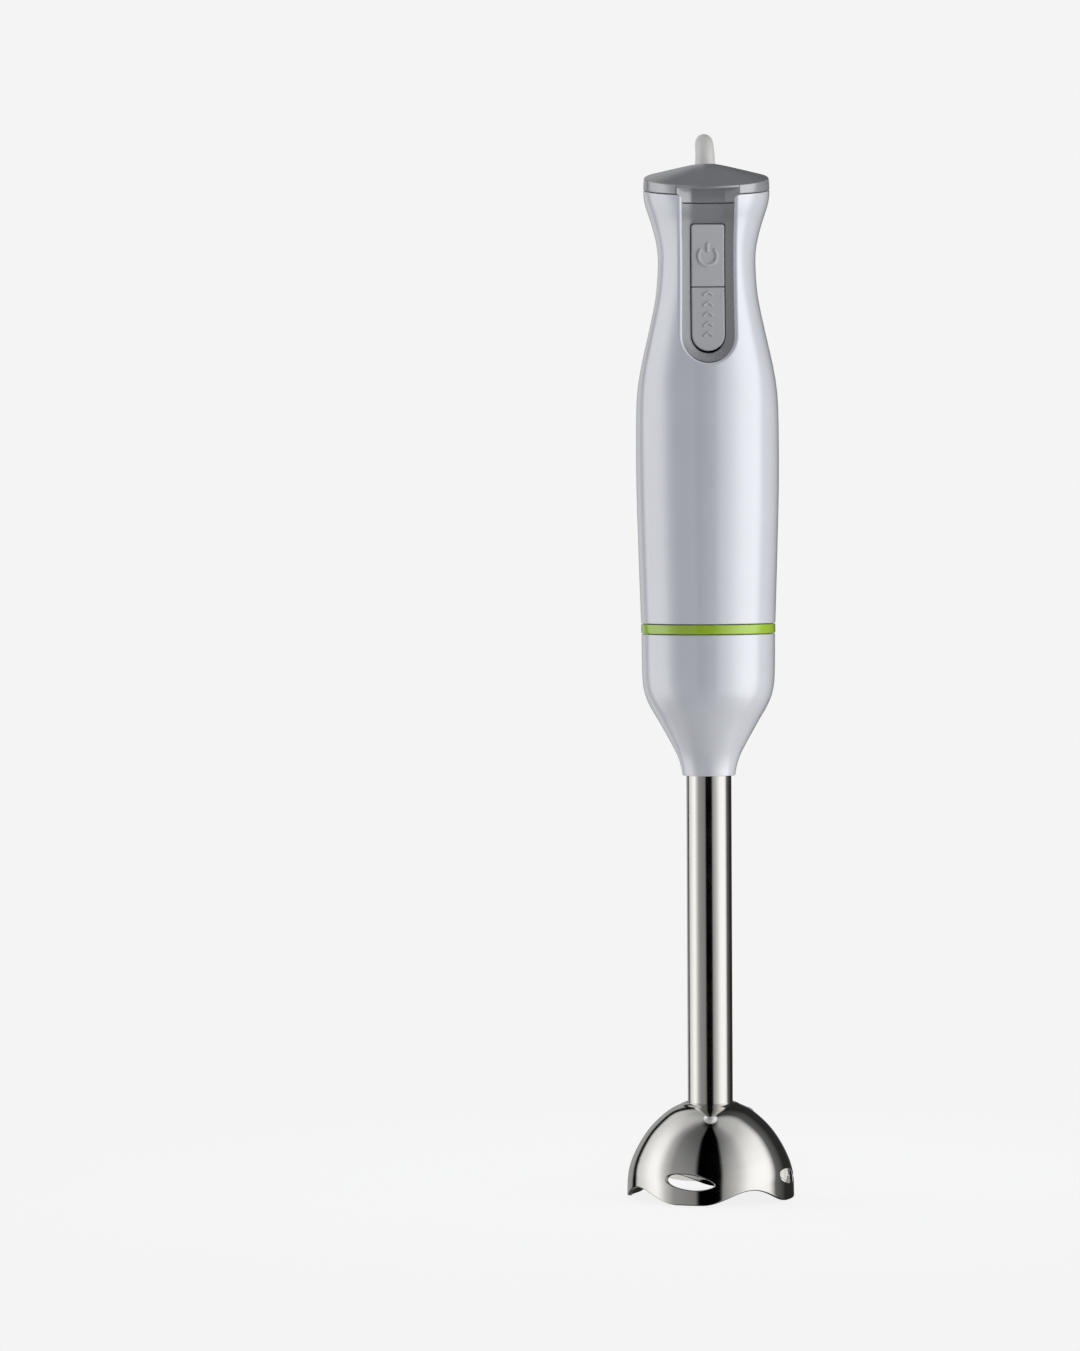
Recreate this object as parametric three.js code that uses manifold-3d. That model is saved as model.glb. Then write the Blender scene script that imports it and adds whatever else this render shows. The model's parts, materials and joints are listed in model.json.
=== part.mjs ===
// An immersion blender: a motor handle that turns and lifts off a steel wand with a lobed bell guard.
// Millimetres, +Z up. The origin is on the surface that it stands on, on the wand's axis.
// The buttons face -Y. The mains lead leaves the top of the handle and hangs down behind, towards +Y.
import * as THREE from 'three';
import { mergeVertices } from 'three/addons/utils/BufferGeometryUtils.js';
import Module from 'manifold-3d';

const wasm = await Module();
wasm.setup();

// ---------------------------------------------------------------- driving dimensions
const GAP = 0.3; // between pieces that touch
const WALL = 2.2; // housing wall
const ROUND = 28; // facets round the handle
const BELL_ROUND = 40; // facets round the bell

// half-width of the handle at each height, [z, half-width], from the trim ring to the cap's rim
const HANDLE_OUTLINE = [
  [213.3, 24.9], [240, 25.75], [265, 26.4], [286, 26.4], [298, 26.0], [307, 24.7], [320, 21.8],
  [333.5, 19.0], [344, 18.1], [352, 18.3], [360.5, 20.3], [369, 23.05], [374, 23.4], [378.1, 23.06],
];
// the wand's collar, from the steel tube up to the trim ring
const COLLAR_OUTLINE = [
  [156.7, 9.8], [159.5, 10.2], [164, 11.6], [168.4, 13.8], [177.4, 18.8], [181.8, 21.4],
  [186.3, 23.4], [190.5, 24.3], [197, 24.65], [209.3, 24.75],
];
// the bell guard's outside, from its rim up to the tube
const BELL_OUTLINE = [
  [0, 31.05], [7.7, 30.75], [12.2, 29.8], [16.7, 28.0], [21.1, 25.6], [25.6, 22.4], [30, 18.0],
  [33.2, 13.6], [35.2, 8.65],
];

const GRIP_Z = 344; // narrowest point of the handle
const GRIP_EXTRA_DEPTH = 1.9; // how much deeper than wide the grip is there
const GRIP_SPAN = 22; // how far up and down that extra depth reaches

const CAP_SEAM_Z = 373.4; // seam between housing and cap, at the sides
const CAP_SEAM_TILT = 3.0; // how much lower the seam is at the front
const CAP_RIM_Z = 378.1;
const CAP_RIM_TILT = 4.2;
const CAP_CREST_Z = 383.4;
const CAP_WALL = 2.0;

const PANEL_HALF = 10.2; // half-width of the slot in the front housing that holds the panel
const PANEL_FACET_HALF = 6.25;
const PANEL_BOTTOM_Z = 309.2;
const PANEL_TOP_Z = 367.6;
const PANEL_LIP_SINK = 0.9; // depth of the panel's outer edge below the housing beside it
const PANEL_SLOPE_DEPTH = 1.4; // how much deeper its middle facet is
const PANEL_THICK = 2.0;

const BUTTON_HALF = 6.1;
const BUTTON_PROUD = 0.9; // how far the buttons stand out of the panel's middle facet
const BUTTON_THICK = 4.4;
const BUTTON_TOP_Z = 360.1;
const BUTTON_SPLIT_Z = 337.2;
const BUTTON_BOTTOM_Z = 313.6;
const POWER_SWITCH_Z = 348.6;
const TURBO_SWITCH_Z = 325.4;

const RING_Z = [209.6, 213.0]; // the coloured trim ring
const TUBE_RADIUS = 8.35;
const TUBE_WALL = 1.0;
const SHAFT_RADIUS = 3.0;
const MOTOR_SHAFT_RADIUS = 2.5;

const BELL_WALL = 1.5;
const LOBES = 4;
const LOBE_TURN = THREE.MathUtils.degToRad(-16.5); // the front lobe's turn from the front
const LOBE_FLAT = THREE.MathUtils.degToRad(9); // half-width of the flat that each lobe stands on
const ARCH_HEIGHT = 5.1;
const WINDOW_HALF = 9.3;
const WINDOW_Z = [5.7, 11.3];
const WINDOW_FALL = 1.9; // how much lower a window's right end is than its left end

const DOG_SPAN = 40; // degrees that one coupling dog takes up
const MOTOR_SCREW_Y = 15.9; // the motor's two tie screws, in front of and behind its shaft

const CORD_RADIUS = 2.8;
const BOOT_ARC_RADIUS = 25;
const BOOT_TOP = [30.5, 392.7]; // y and z of the highest point of the lead's centre line

// The lead's centre line from the top of the handle down to the tie round its folded length
const LEAD_ROUTE = [
  [0, 41.1, 390.4], [0, 46.6, 386.8], [0, 52.15, 380.2], [0, 55.5, 367.7], [0.2, 56.3, 350],
  [0.6, 57.0, 310], [0.9, 57.4, 260], [0.9, 57.6, 210], [0.5, 57.5, 160], [0.2, 57.3, 110],
  [0.1, 57.2, 70], [0.1, 57.2, 52], [0.2, 57.4, 39], [0.4, 60.3, 27.4], [0.9, 68.7, 19.0],
  [1.6, 80.2, 15.9], [1.9, 86, 15.9],
];

const HANK_X = 2.5; // the folded lead lies straight behind the wand
const HANK_ENDS_Y = [53.8, 159.8]; // centres of its two round ends
const HANK_HALF = 19.8;
const HANK_HOLE_HALF = 13.4;
const HANK_Z = [1.1, 12.1];
const TIE_Y = 92;
const TIE_WIDTH = 5;
const TIE_THICK = 0.8;
const PLUG_Y = 95;
const PLUG_Z = 6.5;
const PLUG_FACE = 41; // length from the lead's end to the face that the blades stand on

// ---------------------------------------------------------------- colours
const finish = (color, roughness, metalness = 0) =>
  new THREE.MeshStandardMaterial({ color, roughness, metalness });
const WHITE = finish(0xe9e8ef, 0.25);
const CAP_GREY = finish(0x74757b, 0.4);
const PANEL_GREY = finish(0x85878c, 0.45);
const BUTTON_GREY = finish(0x9fa1a5, 0.55);
const GREEN = finish(0x9bb93c, 0.35);
const STEEL = finish(0xb9b7b2, 0.2, 1);
const DARK_STEEL = finish(0x77797c, 0.4, 1);
const BRONZE = finish(0xa87b45, 0.45, 1);
const COPPER = finish(0xb06a3a, 0.35, 1);
const BLACK = finish(0x1c1c1e, 0.6);
const NATURAL_NYLON = finish(0xdcdad0, 0.5);
const RUBBER = finish(0x2b2b2d, 0.9);
const BOARD = finish(0x2f6b46, 0.6);
const LEAD = finish(0xcfcfcc, 0.55);

// ---------------------------------------------------------------- geometry helpers
function bare(geometry) {
  // one vertex at each place, and no triangle without area
  const g = geometry.clone();
  g.deleteAttribute('normal');
  g.deleteAttribute('uv');
  const merged = mergeVertices(g, 1e-4);
  const kept = [];
  for (let i = 0; i < merged.index.count; i += 3) {
    const [a, b, c] = [0, 1, 2].map((k) => merged.index.getX(i + k));
    if (a !== b && b !== c && c !== a) kept.push(a, b, c);
  }
  merged.setIndex(kept);
  return facingOut(merged);
}

function facingOut(geometry) {
  const p = geometry.attributes.position;
  const index = geometry.index.array;
  const corner = (i) => new THREE.Vector3().fromBufferAttribute(p, i);
  let volume = 0;
  for (let i = 0; i < index.length; i += 3) {
    volume += corner(index[i]).dot(corner(index[i + 1]).cross(corner(index[i + 2])));
  }
  if (volume < 0) {
    for (let i = 0; i < index.length; i += 3) {
      [index[i], index[i + 1]] = [index[i + 1], index[i]];
    }
  }
  return geometry;
}

function solid(geometry) {
  const g = bare(geometry);
  const mesh = new wasm.Mesh({
    numProp: 3,
    vertProperties: new Float32Array(g.attributes.position.array),
    triVerts: new Uint32Array(g.index.array),
  });
  return new wasm.Manifold(mesh);
}

function shapeOf(manifold) {
  const mesh = manifold.getMesh();
  const g = new THREE.BufferGeometry();
  g.setAttribute('position', new THREE.BufferAttribute(new Float32Array(mesh.vertProperties), 3));
  g.setIndex(new THREE.BufferAttribute(new Uint32Array(mesh.triVerts), 1));
  return g;
}

const joined = (first, ...others) =>
  shapeOf(others.reduce((sum, g) => sum.add(solid(g)), solid(first)));
const cut = (first, ...others) =>
  shapeOf(others.reduce((rest, g) => rest.subtract(solid(g)), solid(first)));
const common = (first, ...others) =>
  shapeOf(others.reduce((rest, g) => rest.intersect(solid(g)), solid(first)));

function box(x, y, z) {
  const g = new THREE.BoxGeometry(x[1] - x[0], y[1] - y[0], z[1] - z[0]);
  return g.translate((x[0] + x[1]) / 2, (y[0] + y[1]) / 2, (z[0] + z[1]) / 2);
}

function turned(profile, facets = 16) {
  // a solid of revolution about Z from [radius, z] points
  const onAxis = profile[0][0] === 0;
  const points = (onAxis ? profile : [...profile, profile[0]]).map(([r, z]) => new THREE.Vector2(r, z));
  return new THREE.LatheGeometry(points, facets).rotateX(Math.PI / 2);
}

const collar = (inner, outer, z, facets) =>
  turned([[inner, z[0]], [outer, z[0]], [outer, z[1]], [inner, z[1]]], facets);
const rod = (radius, z, facets) =>
  turned([[0, z[0]], [radius, z[0]], [radius, z[1]], [0, z[1]]], facets);

function rodAlongY(radius, y, x, z, facets = 16) {
  return rod(radius, [0, y[1] - y[0]], facets).rotateX(-Math.PI / 2).translate(x, y[0], z);
}

function sector(inner, outer, middle, span, z) {
  // a piece of a ring, with its middle direction and span in degrees
  const [from, to] = [middle - span / 2, middle + span / 2].map(THREE.MathUtils.degToRad);
  const shape = new THREE.Shape();
  shape.absarc(0, 0, outer, from, to, false);
  shape.absarc(0, 0, inner, to, from, true);
  const g = new THREE.ExtrudeGeometry(shape, {
    depth: z[1] - z[0], bevelEnabled: false, curveSegments: 4,
  });
  return g.translate(0, 0, z[0]);
}

function loft(rings, { closed = false, flatCaps = false } = {}) {
  // a skin over rings of points: its ends are capped, or its last ring meets its first
  const count = rings[0].length;
  const triangles = [];
  const links = closed ? rings.length : rings.length - 1;
  for (let i = 0; i < links; i += 1) {
    const [low, high] = [i * count, ((i + 1) % rings.length) * count];
    for (let j = 0; j < count; j += 1) {
      const k = (j + 1) % count;
      triangles.push(low + j, low + k, high + k, low + j, high + k, high + j);
    }
  }
  if (!closed) {
    const start = (rings.length - 1) * count;
    const faces = flatCaps
      ? THREE.ShapeUtils.triangulateShape(rings[0].map((p) => new THREE.Vector2(p.x, p.y)), [])
      : rings[0].slice(2).map((_, j) => [0, j + 1, j + 2]);
    for (const [a, b, c] of faces) {
      triangles.push(a, c, b, start + a, start + b, start + c);
    }
  }
  const g = new THREE.BufferGeometry().setFromPoints(rings.flat());
  g.setIndex(triangles);
  return g;
}

function smooth(points) {
  // a smooth curve through [z, value] points, as a function of z
  const slope = points.map((_, i) => {
    const before = points[Math.max(i - 1, 0)];
    const after = points[Math.min(i + 1, points.length - 1)];
    return (after[1] - before[1]) / (after[0] - before[0]);
  });
  return (z) => {
    let i = 0;
    while (i < points.length - 2 && z > points[i + 1][0]) i += 1;
    const [z0, v0] = points[i];
    const [z1, v1] = points[i + 1];
    const h = z1 - z0;
    const t = THREE.MathUtils.clamp((z - z0) / h, 0, 1);
    const [t2, t3] = [t * t, t * t * t];
    return (2 * t3 - 3 * t2 + 1) * v0 + (t3 - 2 * t2 + t) * h * slope[i]
      + (3 * t2 - 2 * t3) * v1 + (t3 - t2) * h * slope[i + 1];
  };
}

const steps = (from, to, count) =>
  Array.from({ length: count + 1 }, (_, i) => from + ((to - from) * i) / count);

// ---------------------------------------------------------------- the handle's outer form
const halfWidth = smooth(HANDLE_OUTLINE);
const halfDepth = (z) =>
  halfWidth(z) + GRIP_EXTRA_DEPTH * Math.exp(-(((z - GRIP_Z) / GRIP_SPAN) ** 2));

function handleRing(z, inset = 0, tilt = 0) {
  // a ring of the handle's outline, lower at the front than at the sides by tilt
  return steps(0, 2 * Math.PI, ROUND).slice(0, ROUND).map((angle) => new THREE.Vector3(
    (halfWidth(z) - inset) * Math.sin(angle),
    -(halfDepth(z) - inset) * Math.cos(angle),
    z - tilt * Math.cos(angle),
  ));
}

const HOUSING_BOTTOM_Z = HANDLE_OUTLINE[0][0];
const SEAM_BLEND_Z = 362; // the tilt of the rings starts here and is full at the seam
const tiltAt = (z) => CAP_SEAM_TILT
  * THREE.MathUtils.clamp((z - SEAM_BLEND_Z) / (CAP_SEAM_Z - SEAM_BLEND_Z), 0, 1);

function housing() {
  const outside = [HOUSING_BOTTOM_Z, 240, 265, 286, 298, 307, 314, 321, 328, 336, 344, 352,
    SEAM_BLEND_Z, 368, CAP_SEAM_Z];
  const inside = [CAP_SEAM_Z, 368, SEAM_BLEND_Z, 344, 328, 307, 286, HOUSING_BOTTOM_Z];
  return loft([
    ...outside.map((z) => handleRing(z, 0, tiltAt(z))),
    ...inside.map((z) => handleRing(z, WALL, tiltAt(z))),
  ], { closed: true });
}

function slotCutter(half, bottom, top, depth = [-40, -5], roundBottom = true) {
  // a vertical slot seen from the front, with a half-round or a square bottom
  const shape = new THREE.Shape();
  shape.moveTo(half, top);
  shape.lineTo(-half, top);
  if (roundBottom) {
    shape.absarc(0, bottom + half, half, Math.PI, 2 * Math.PI, false);
  } else {
    shape.lineTo(-half, bottom);
    shape.lineTo(half, bottom);
  }
  const g = new THREE.ExtrudeGeometry(shape, {
    depth: depth[1] - depth[0], bevelEnabled: false, curveSegments: 7,
  });
  return g.rotateX(Math.PI / 2).translate(0, depth[1], 0);
}

function frontHousing() {
  const front = box([-40, 40], [-40, -GAP / 2], [200, 400]);
  return cut(shapeOf(solid(housing()).intersect(solid(front))), slotCutter(PANEL_HALF, PANEL_BOTTOM_Z, 390));
}

const rearHousing = () => common(housing(), box([-40, 40], [GAP / 2, 40], [200, 400]));

// ---------------------------------------------------------------- panel and buttons
const lipY = (z) => -halfDepth(z) * Math.sqrt(1 - (PANEL_HALF / halfWidth(z)) ** 2);
const facetY = (z) => lipY(z) + PANEL_LIP_SINK + PANEL_SLOPE_DEPTH;
const buttonY = (z) => facetY(z) - BUTTON_PROUD;
const PANEL_SLOPE = PANEL_HALF - PANEL_FACET_HALF;

function panelY(z) {
  // the panel's middle, which slopes up to the housing's surface at the slot's lower end
  const rise = THREE.MathUtils.clamp((PANEL_BOTTOM_Z + PANEL_SLOPE - z) / PANEL_SLOPE, 0, 1);
  return facetY(z) + (PANEL_LIP_SINK - halfDepth(z) - facetY(z)) * rise;
}

function plate(half, middleY, thick, z, channelled) {
  // a strip that follows the front of the handle, with a flat middle and, if channelled, raised sides
  const rings = z.map((height) => {
    const y = middleY(height);
    const edge = Math.min(lipY(height) + PANEL_LIP_SINK, y);
    const front = channelled
      ? [[-half, edge], [-PANEL_FACET_HALF, y], [PANEL_FACET_HALF, y], [half, edge]]
      : [[-half, y], [half, y]];
    const back = front.map(([px, py]) => [px, py + thick]).reverse();
    return [...front, ...back].map(([px, py]) => new THREE.Vector3(px, py, height));
  });
  return loft(rings, { flatCaps: true });
}

function controlPanel() {
  const heights = [305, PANEL_BOTTOM_Z, PANEL_BOTTOM_Z + PANEL_SLOPE, ...steps(318, PANEL_TOP_Z, 10)];
  const strip = plate(PANEL_HALF - GAP, panelY, PANEL_THICK, heights, true);
  const outline = slotCutter(PANEL_HALF - GAP, PANEL_BOTTOM_Z + GAP, PANEL_TOP_Z + 1);
  const opening = slotCutter(BUTTON_HALF + GAP, BUTTON_BOTTOM_Z - GAP, BUTTON_TOP_Z + GAP);
  return cut(common(strip, outline), opening);
}

function button(bottom, top, roundBottom, switchZ) {
  const face = plate(BUTTON_HALF, buttonY, BUTTON_THICK, steps(308, 362, 9), false);
  const cap = common(face, slotCutter(BUTTON_HALF, bottom, top, [-40, -5], roundBottom));
  const flangeZ = steps(bottom + 3, top - 3, 3);
  const flange = plate(BUTTON_HALF + 1.5, (z) => buttonY(z) + BUTTON_THICK - 1, 1, flangeZ, false);
  const post = rodAlongY(1.7, [buttonY(switchZ) + 3.5, -10.3], 0, switchZ);
  return joined(cap, flange, post);
}

function switchBody(z) {
  const body = box([-3.2, 3.2], [-8.2, -2.3], [z - 5, z + 5]);
  return cut(body, rodAlongY(1.6, [-9, -3], 0, z));
}

// ---------------------------------------------------------------- top cap and strain relief
function bootPoint(angle) {
  // a point of the strain relief's centre line, by its angle from the highest point, in degrees
  const a = THREE.MathUtils.degToRad(angle);
  const [y, z] = BOOT_TOP;
  return new THREE.Vector3(0, y - BOOT_ARC_RADIUS * Math.sin(a), z - BOOT_ARC_RADIUS * (1 - Math.cos(a)));
}

function bootTube(stations, facets = 12) {
  // a round tube along the strain relief's arc, from [angle, radius] stations
  return loft(stations.map(([angle, radius]) => {
    const a = THREE.MathUtils.degToRad(angle);
    const across = new THREE.Vector3(0, -Math.sin(a), Math.cos(a));
    return steps(0, 2 * Math.PI, facets).slice(0, facets).map((t) => bootPoint(angle)
      .addScaledVector(new THREE.Vector3(1, 0, 0), radius * Math.cos(t))
      .addScaledVector(across, radius * Math.sin(t)));
  }));
}

const cordBoot = () => bootTube([
  [76, 4.8], [72.5, 4.8], [72, 3.8], [52, 3.7], [33, 3.4], [14, 3.2], [-5, 3.05], [-24, 3.0],
]);

function capForm(inset, fromZ) {
  // rings from the cap's seam to its crest; the rim is lower at the front
  const crest = CAP_CREST_Z - inset;
  const roundness = 0.25;
  const dome = [0.75, 0.45, 0.2, 0.04].map((t) => {
    const drop = (Math.hypot(t, roundness) - roundness) / (Math.hypot(1, roundness) - roundness);
    return handleRing(CAP_RIM_Z, inset, CAP_RIM_TILT).map((p) => {
      const z = crest - (crest - (p.z - inset)) * drop;
      return new THREE.Vector3(p.x * t, p.y * t, z);
    });
  });
  const rim = handleRing(CAP_RIM_Z, inset, CAP_RIM_TILT);
  rim.forEach((p) => { p.z -= inset; });
  return [...fromZ, rim, ...dome];
}

function topCap() {
  const seam = CAP_SEAM_Z + GAP;
  const outside = capForm(0, [handleRing(seam, 0, CAP_SEAM_TILT)]);
  const lip = WALL + GAP;
  const inside = capForm(CAP_WALL + lip, [
    handleRing(seam, lip, CAP_SEAM_TILT),
    handleRing(seam - 4, lip + GAP, CAP_SEAM_TILT),
    handleRing(seam - 4, lip + CAP_WALL, CAP_SEAM_TILT),
  ]);
  const shell = loft([...inside.reverse(), ...outside]);
  const envelope = loft([handleRing(350, 0, 0), ...outside]);
  const slot = slotCutter(PANEL_HALF + GAP, 340, 373.1, [-40, -14], false);
  const band = plate(PANEL_HALF - GAP, facetY, 2.4, steps(PANEL_TOP_Z + GAP, 377, 4), true);
  const tongue = common(band, envelope);
  const hole = bootTube([[80, 4.1], [60, 4.1], [45, 4.1], [30, 4.1]]);
  return cut(joined(cut(shell, slot), tongue), hole);
}

// ---------------------------------------------------------------- the wand
function wandCollar() {
  const outer = smooth(COLLAR_OUTLINE);
  const [bottom, top] = [COLLAR_OUTLINE[0][0], COLLAR_OUTLINE.at(-1)[0]];
  const outside = [bottom, 159.5, 164, 173, 181.8, 186.3, 191, top];
  return turned([
    ...outside.map((z) => [outer(z), z]),
    [22.4, top], [22.4, 198], [21.2, 189.5], [18, 184.5],
    [5.5, 184.5], [5.5, 180.3], [TUBE_RADIUS + GAP, 180.3], [TUBE_RADIUS + GAP, bottom],
  ], ROUND);
}

const bellRadius = smooth(BELL_OUTLINE);

function rimHeight(angle) {
  // the height of the bell's edge: flat lobes with arches between them
  const period = (2 * Math.PI) / LOBES;
  const turn = angle - LOBE_TURN;
  const away = Math.abs(turn - period * Math.round(turn / period));
  const t = Math.max(0, (away - LOBE_FLAT) / (period / 2 - LOBE_FLAT));
  return ARCH_HEIGHT * Math.sin((Math.PI / 2) * t) ** 2;
}

function bellRing(z, inset, share) {
  // a ring of the bell; share 1 lies at height z, and share 0 on the edge
  return steps(0, 2 * Math.PI, BELL_ROUND).slice(0, BELL_ROUND).map((t) => {
    const angle = t + LOBE_TURN;
    const height = rimHeight(angle) + (z - rimHeight(angle)) * share;
    const radius = bellRadius(height + inset * 0.4) - inset;
    return new THREE.Vector3(radius * Math.sin(angle), -radius * Math.cos(angle), height);
  });
}

function bellWindow(lobe) {
  // a lens-shaped cutter through one lobe
  const [low, high] = WINDOW_Z;
  const arc = steps(-1, 1, 6);
  const edge = (side) => (t) => new THREE.Vector2(
    t * WINDOW_HALF,
    (low + high) / 2 - (t * WINDOW_FALL) / 2 + side * ((high - low) / 2) * (1 - t * t),
  );
  const outline = new THREE.Shape([...arc.map(edge(1)), ...arc.slice(1, -1).reverse().map(edge(-1))]);
  const g = new THREE.ExtrudeGeometry(outline, { depth: 20, bevelEnabled: false });
  return g.rotateX(Math.PI / 2).translate(0, -20, 0).rotateZ(LOBE_TURN + (lobe * 2 * Math.PI) / LOBES);
}

function bellGuard() {
  const outside = [[0, 0], [13, 0.45], [13, 1], [18, 1], [23, 1], [27.5, 1], [31.5, 1], [35.2, 1]];
  const inside = [[33.6, 1], [30.5, 1], [25, 1], [19, 1], [13, 1], [13, 0.45], [0, 0]];
  const neck = TUBE_RADIUS + GAP;
  const neckRing = (z) => steps(0, 2 * Math.PI, BELL_ROUND).slice(0, BELL_ROUND).map((t) => {
    const angle = t + LOBE_TURN;
    return new THREE.Vector3(neck * Math.sin(angle), -neck * Math.cos(angle), z);
  });
  const shell = loft([
    ...outside.slice(0, -1).map(([z, share]) => bellRing(z, 0, share)),
    neckRing(35.2),
    neckRing(33.4),
    ...inside.slice(1).map(([z, share]) => bellRing(z, BELL_WALL, share)),
  ], { closed: true });
  return cut(shell, ...steps(0, LOBES - 1, LOBES - 1).map(bellWindow));
}

function cuttingBlade() {
  // two wings on a round middle, each wing swept back to a narrow tip
  const wing = (side) => [
    [4, 5], [12, 5.2], [20, 3.4], [23.2, -1.2], [14, -4.2], [6, -4.6],
  ].map(([x, y]) => new THREE.Vector2(side * x, side * y));
  const outline = new THREE.Shape([...wing(1), ...wing(-1)]);
  const g = new THREE.ExtrudeGeometry(outline, { depth: 1.2, bevelEnabled: false }).translate(0, 0, 12.6);
  return cut(g, rod(SHAFT_RADIUS + GAP, [10, 16], 20));
}

// ---------------------------------------------------------------- motor and couplings
function armatureCore() {
  const slots = steps(0, 315, 7).map((deg) => rod(2.0, [238, 268], 8)
    .translate(10.4, 0, 0).rotateZ(THREE.MathUtils.degToRad(deg)));
  return cut(collar(MOTOR_SHAFT_RADIUS + GAP, 13.6, [240, 266], 24), ...slots);
}

function armatureWinding() {
  const bars = steps(0, 315, 7).map((deg) => rod(1.5, [237, 269], 6)
    .translate(10.4, 0, 0).rotateZ(THREE.MathUtils.degToRad(deg)));
  return joined(collar(5, 12.4, [234, 239.7], 20), collar(6.2, 12.4, [266.3, 271.5]), ...bars);
}

function brushHolder() {
  const body = box([7.3, 16.2], [-3.5, 3.5], [274.6, 281.9]);
  return cut(body, box([7, 15], [-2.5, 2.5], [275.7, 280.8]));
}

function coolingFan() {
  const blades = steps(0, 308.6, 6).map((deg) => box([4, 15.2], [-0.6, 0.6], [220.3, 225.2])
    .rotateZ(THREE.MathUtils.degToRad(deg)));
  const hub = collar(MOTOR_SHAFT_RADIUS + GAP, 5, [219.5, 225.4]);
  return joined(hub, collar(MOTOR_SHAFT_RADIUS + GAP, 15.5, [219.5, 220.7], 24), ...blades);
}

function coupling(bore, hubZ, dogZ, turn) {
  const hub = collar(bore + GAP, 7.5, hubZ);
  const dogs = [0, 180].map((deg) => sector(4, 7.3, deg + turn, DOG_SPAN, dogZ));
  return joined(hub, ...dogs);
}

function motorCarrier() {
  const base = turned([
    [6, 214.5], [17.3, 214.5], [17.3, 204.5], [20.2, 204.5], [20.2, 213.3], [22.1, 213.3], [22.1, 218],
    [6, 218],
  ], 28);
  const lugs = [30, 150, 270].map((deg) => sector(19, 21.5, deg, 16, [204.9, 207.6]));
  return joined(base, ...lugs);
}

function bayonetRing() {
  const keyways = [30, 150, 270].map((deg) => sector(19, 23, deg, 22, [204.2, 216]));
  return cut(collar(20.6, 22.1, [201.6, 212.7], 32), ...keyways);
}

function screw(headRadius, shankRadius, length) {
  // a pan-head screw that points down, with its head's underside at z = 0
  return turned([[0, -length], [shankRadius, -length], [shankRadius, 0], [headRadius, 0],
    [headRadius, 1], [headRadius * 0.6, 1.6], [0, 1.6]], 12);
}

// ---------------------------------------------------------------- the lead
function leadTube() {
  const points = LEAD_ROUTE.map((p) => new THREE.Vector3(...p));
  const route = new THREE.CatmullRomCurve3(points, false, 'centripetal');
  const circle = new THREE.Shape();
  circle.absarc(0, 0, CORD_RADIUS, 0, 2 * Math.PI);
  return new THREE.ExtrudeGeometry(circle, { steps: 44, extrudePath: route, curveSegments: 4 });
}

function stadium(half) {
  const [near, far] = HANK_ENDS_Y;
  const path = new THREE.Path();
  path.absarc(HANK_X, far, half, 0, Math.PI);
  path.absarc(HANK_X, near, half, Math.PI, 2 * Math.PI);
  return path.getPoints(6);
}

function cordHank() {
  const shape = new THREE.Shape(stadium(HANK_HALF));
  shape.holes.push(new THREE.Path(stadium(HANK_HOLE_HALF)));
  const depth = HANK_Z[1] - HANK_Z[0];
  return new THREE.ExtrudeGeometry(shape, { depth, bevelEnabled: false }).translate(0, 0, HANK_Z[0]);
}

function cordTie() {
  // a flat strap round the folded lead and the run that lies on top of it
  const loop = (grow) => [[-20.1, 0.8], [20.1, 0.8], [20.1, 12.5], [4.5, 19.1], [-4.5, 19.1], [-20.1, 12.5]]
    .map(([x, z]) => new THREE.Vector2(
      HANK_X + x + Math.sign(x) * grow * (Math.abs(x) > 5 ? 1 : 0.6),
      z + (z > 1 ? grow : -grow),
    ));
  const shape = new THREE.Shape(loop(TIE_THICK));
  shape.holes.push(new THREE.Path(loop(0)));
  const g = new THREE.ExtrudeGeometry(shape, { depth: TIE_WIDTH, bevelEnabled: false });
  return g.rotateX(Math.PI / 2).translate(0, TIE_Y + TIE_WIDTH / 2, 0);
}

function plugBody() {
  // sections from the lead's end to the face: distance, half-width, half-height and squareness
  const sections = [[0, 3.6, 3.6, 2], [13, 4.8, 4.6, 2], [16, 8.5, 5.4, 2.6], [22, 12.3, 6.2, 4],
    [PLUG_FACE - 2, 12.3, 6.2, 5], [PLUG_FACE, 11.6, 5.6, 5]];
  const g = loft(sections.map(([z, a, b, n]) => steps(0, 2 * Math.PI, 24).slice(0, 24).map((t) => {
    const bend = (v) => Math.sign(v) * Math.abs(v) ** (2 / n);
    return new THREE.Vector3(a * bend(Math.cos(t)), b * bend(Math.sin(t)), z);
  })));
  return g.rotateX(-Math.PI / 2);
}

// ---------------------------------------------------------------- assembly
const blender = new THREE.Group();

function add(group, name, geometry, material, at = [0, 0, 0], turnZ = 0) {
  const mesh = new THREE.Mesh(bare(geometry), material);
  mesh.name = name;
  mesh.position.set(...at);
  mesh.rotation.z = turnZ;
  group.add(mesh);
}

function subgroup() {
  const group = new THREE.Group();
  blender.add(group);
  return group;
}

const wand = subgroup();
const tubeInside = TUBE_RADIUS - TUBE_WALL;
add(wand, 'wand_collar', wandCollar(), WHITE);
add(wand, 'wand_tube', collar(tubeInside, TUBE_RADIUS, [31, 180], 32), STEEL);
add(wand, 'bell_guard', bellGuard(), STEEL);
add(wand, 'upper_bush', collar(SHAFT_RADIUS + GAP, tubeInside - GAP, [166, 178]), BRONZE);
add(wand, 'lower_bush', collar(SHAFT_RADIUS + GAP, tubeInside - GAP, [37, 51]), BRONZE);
add(wand, 'shaft_seal', collar(SHAFT_RADIUS + GAP, tubeInside - GAP, [32, 36.7]), RUBBER);
add(wand, 'splash_seal', collar(9, 14, [184.8, 186], 20), RUBBER);
add(wand, 'shaft_guard', turned([[3.6, 22.5], [6.2, 22.5], [8.2, 30.7], [3.6, 30.7]], 24), NATURAL_NYLON);

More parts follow.
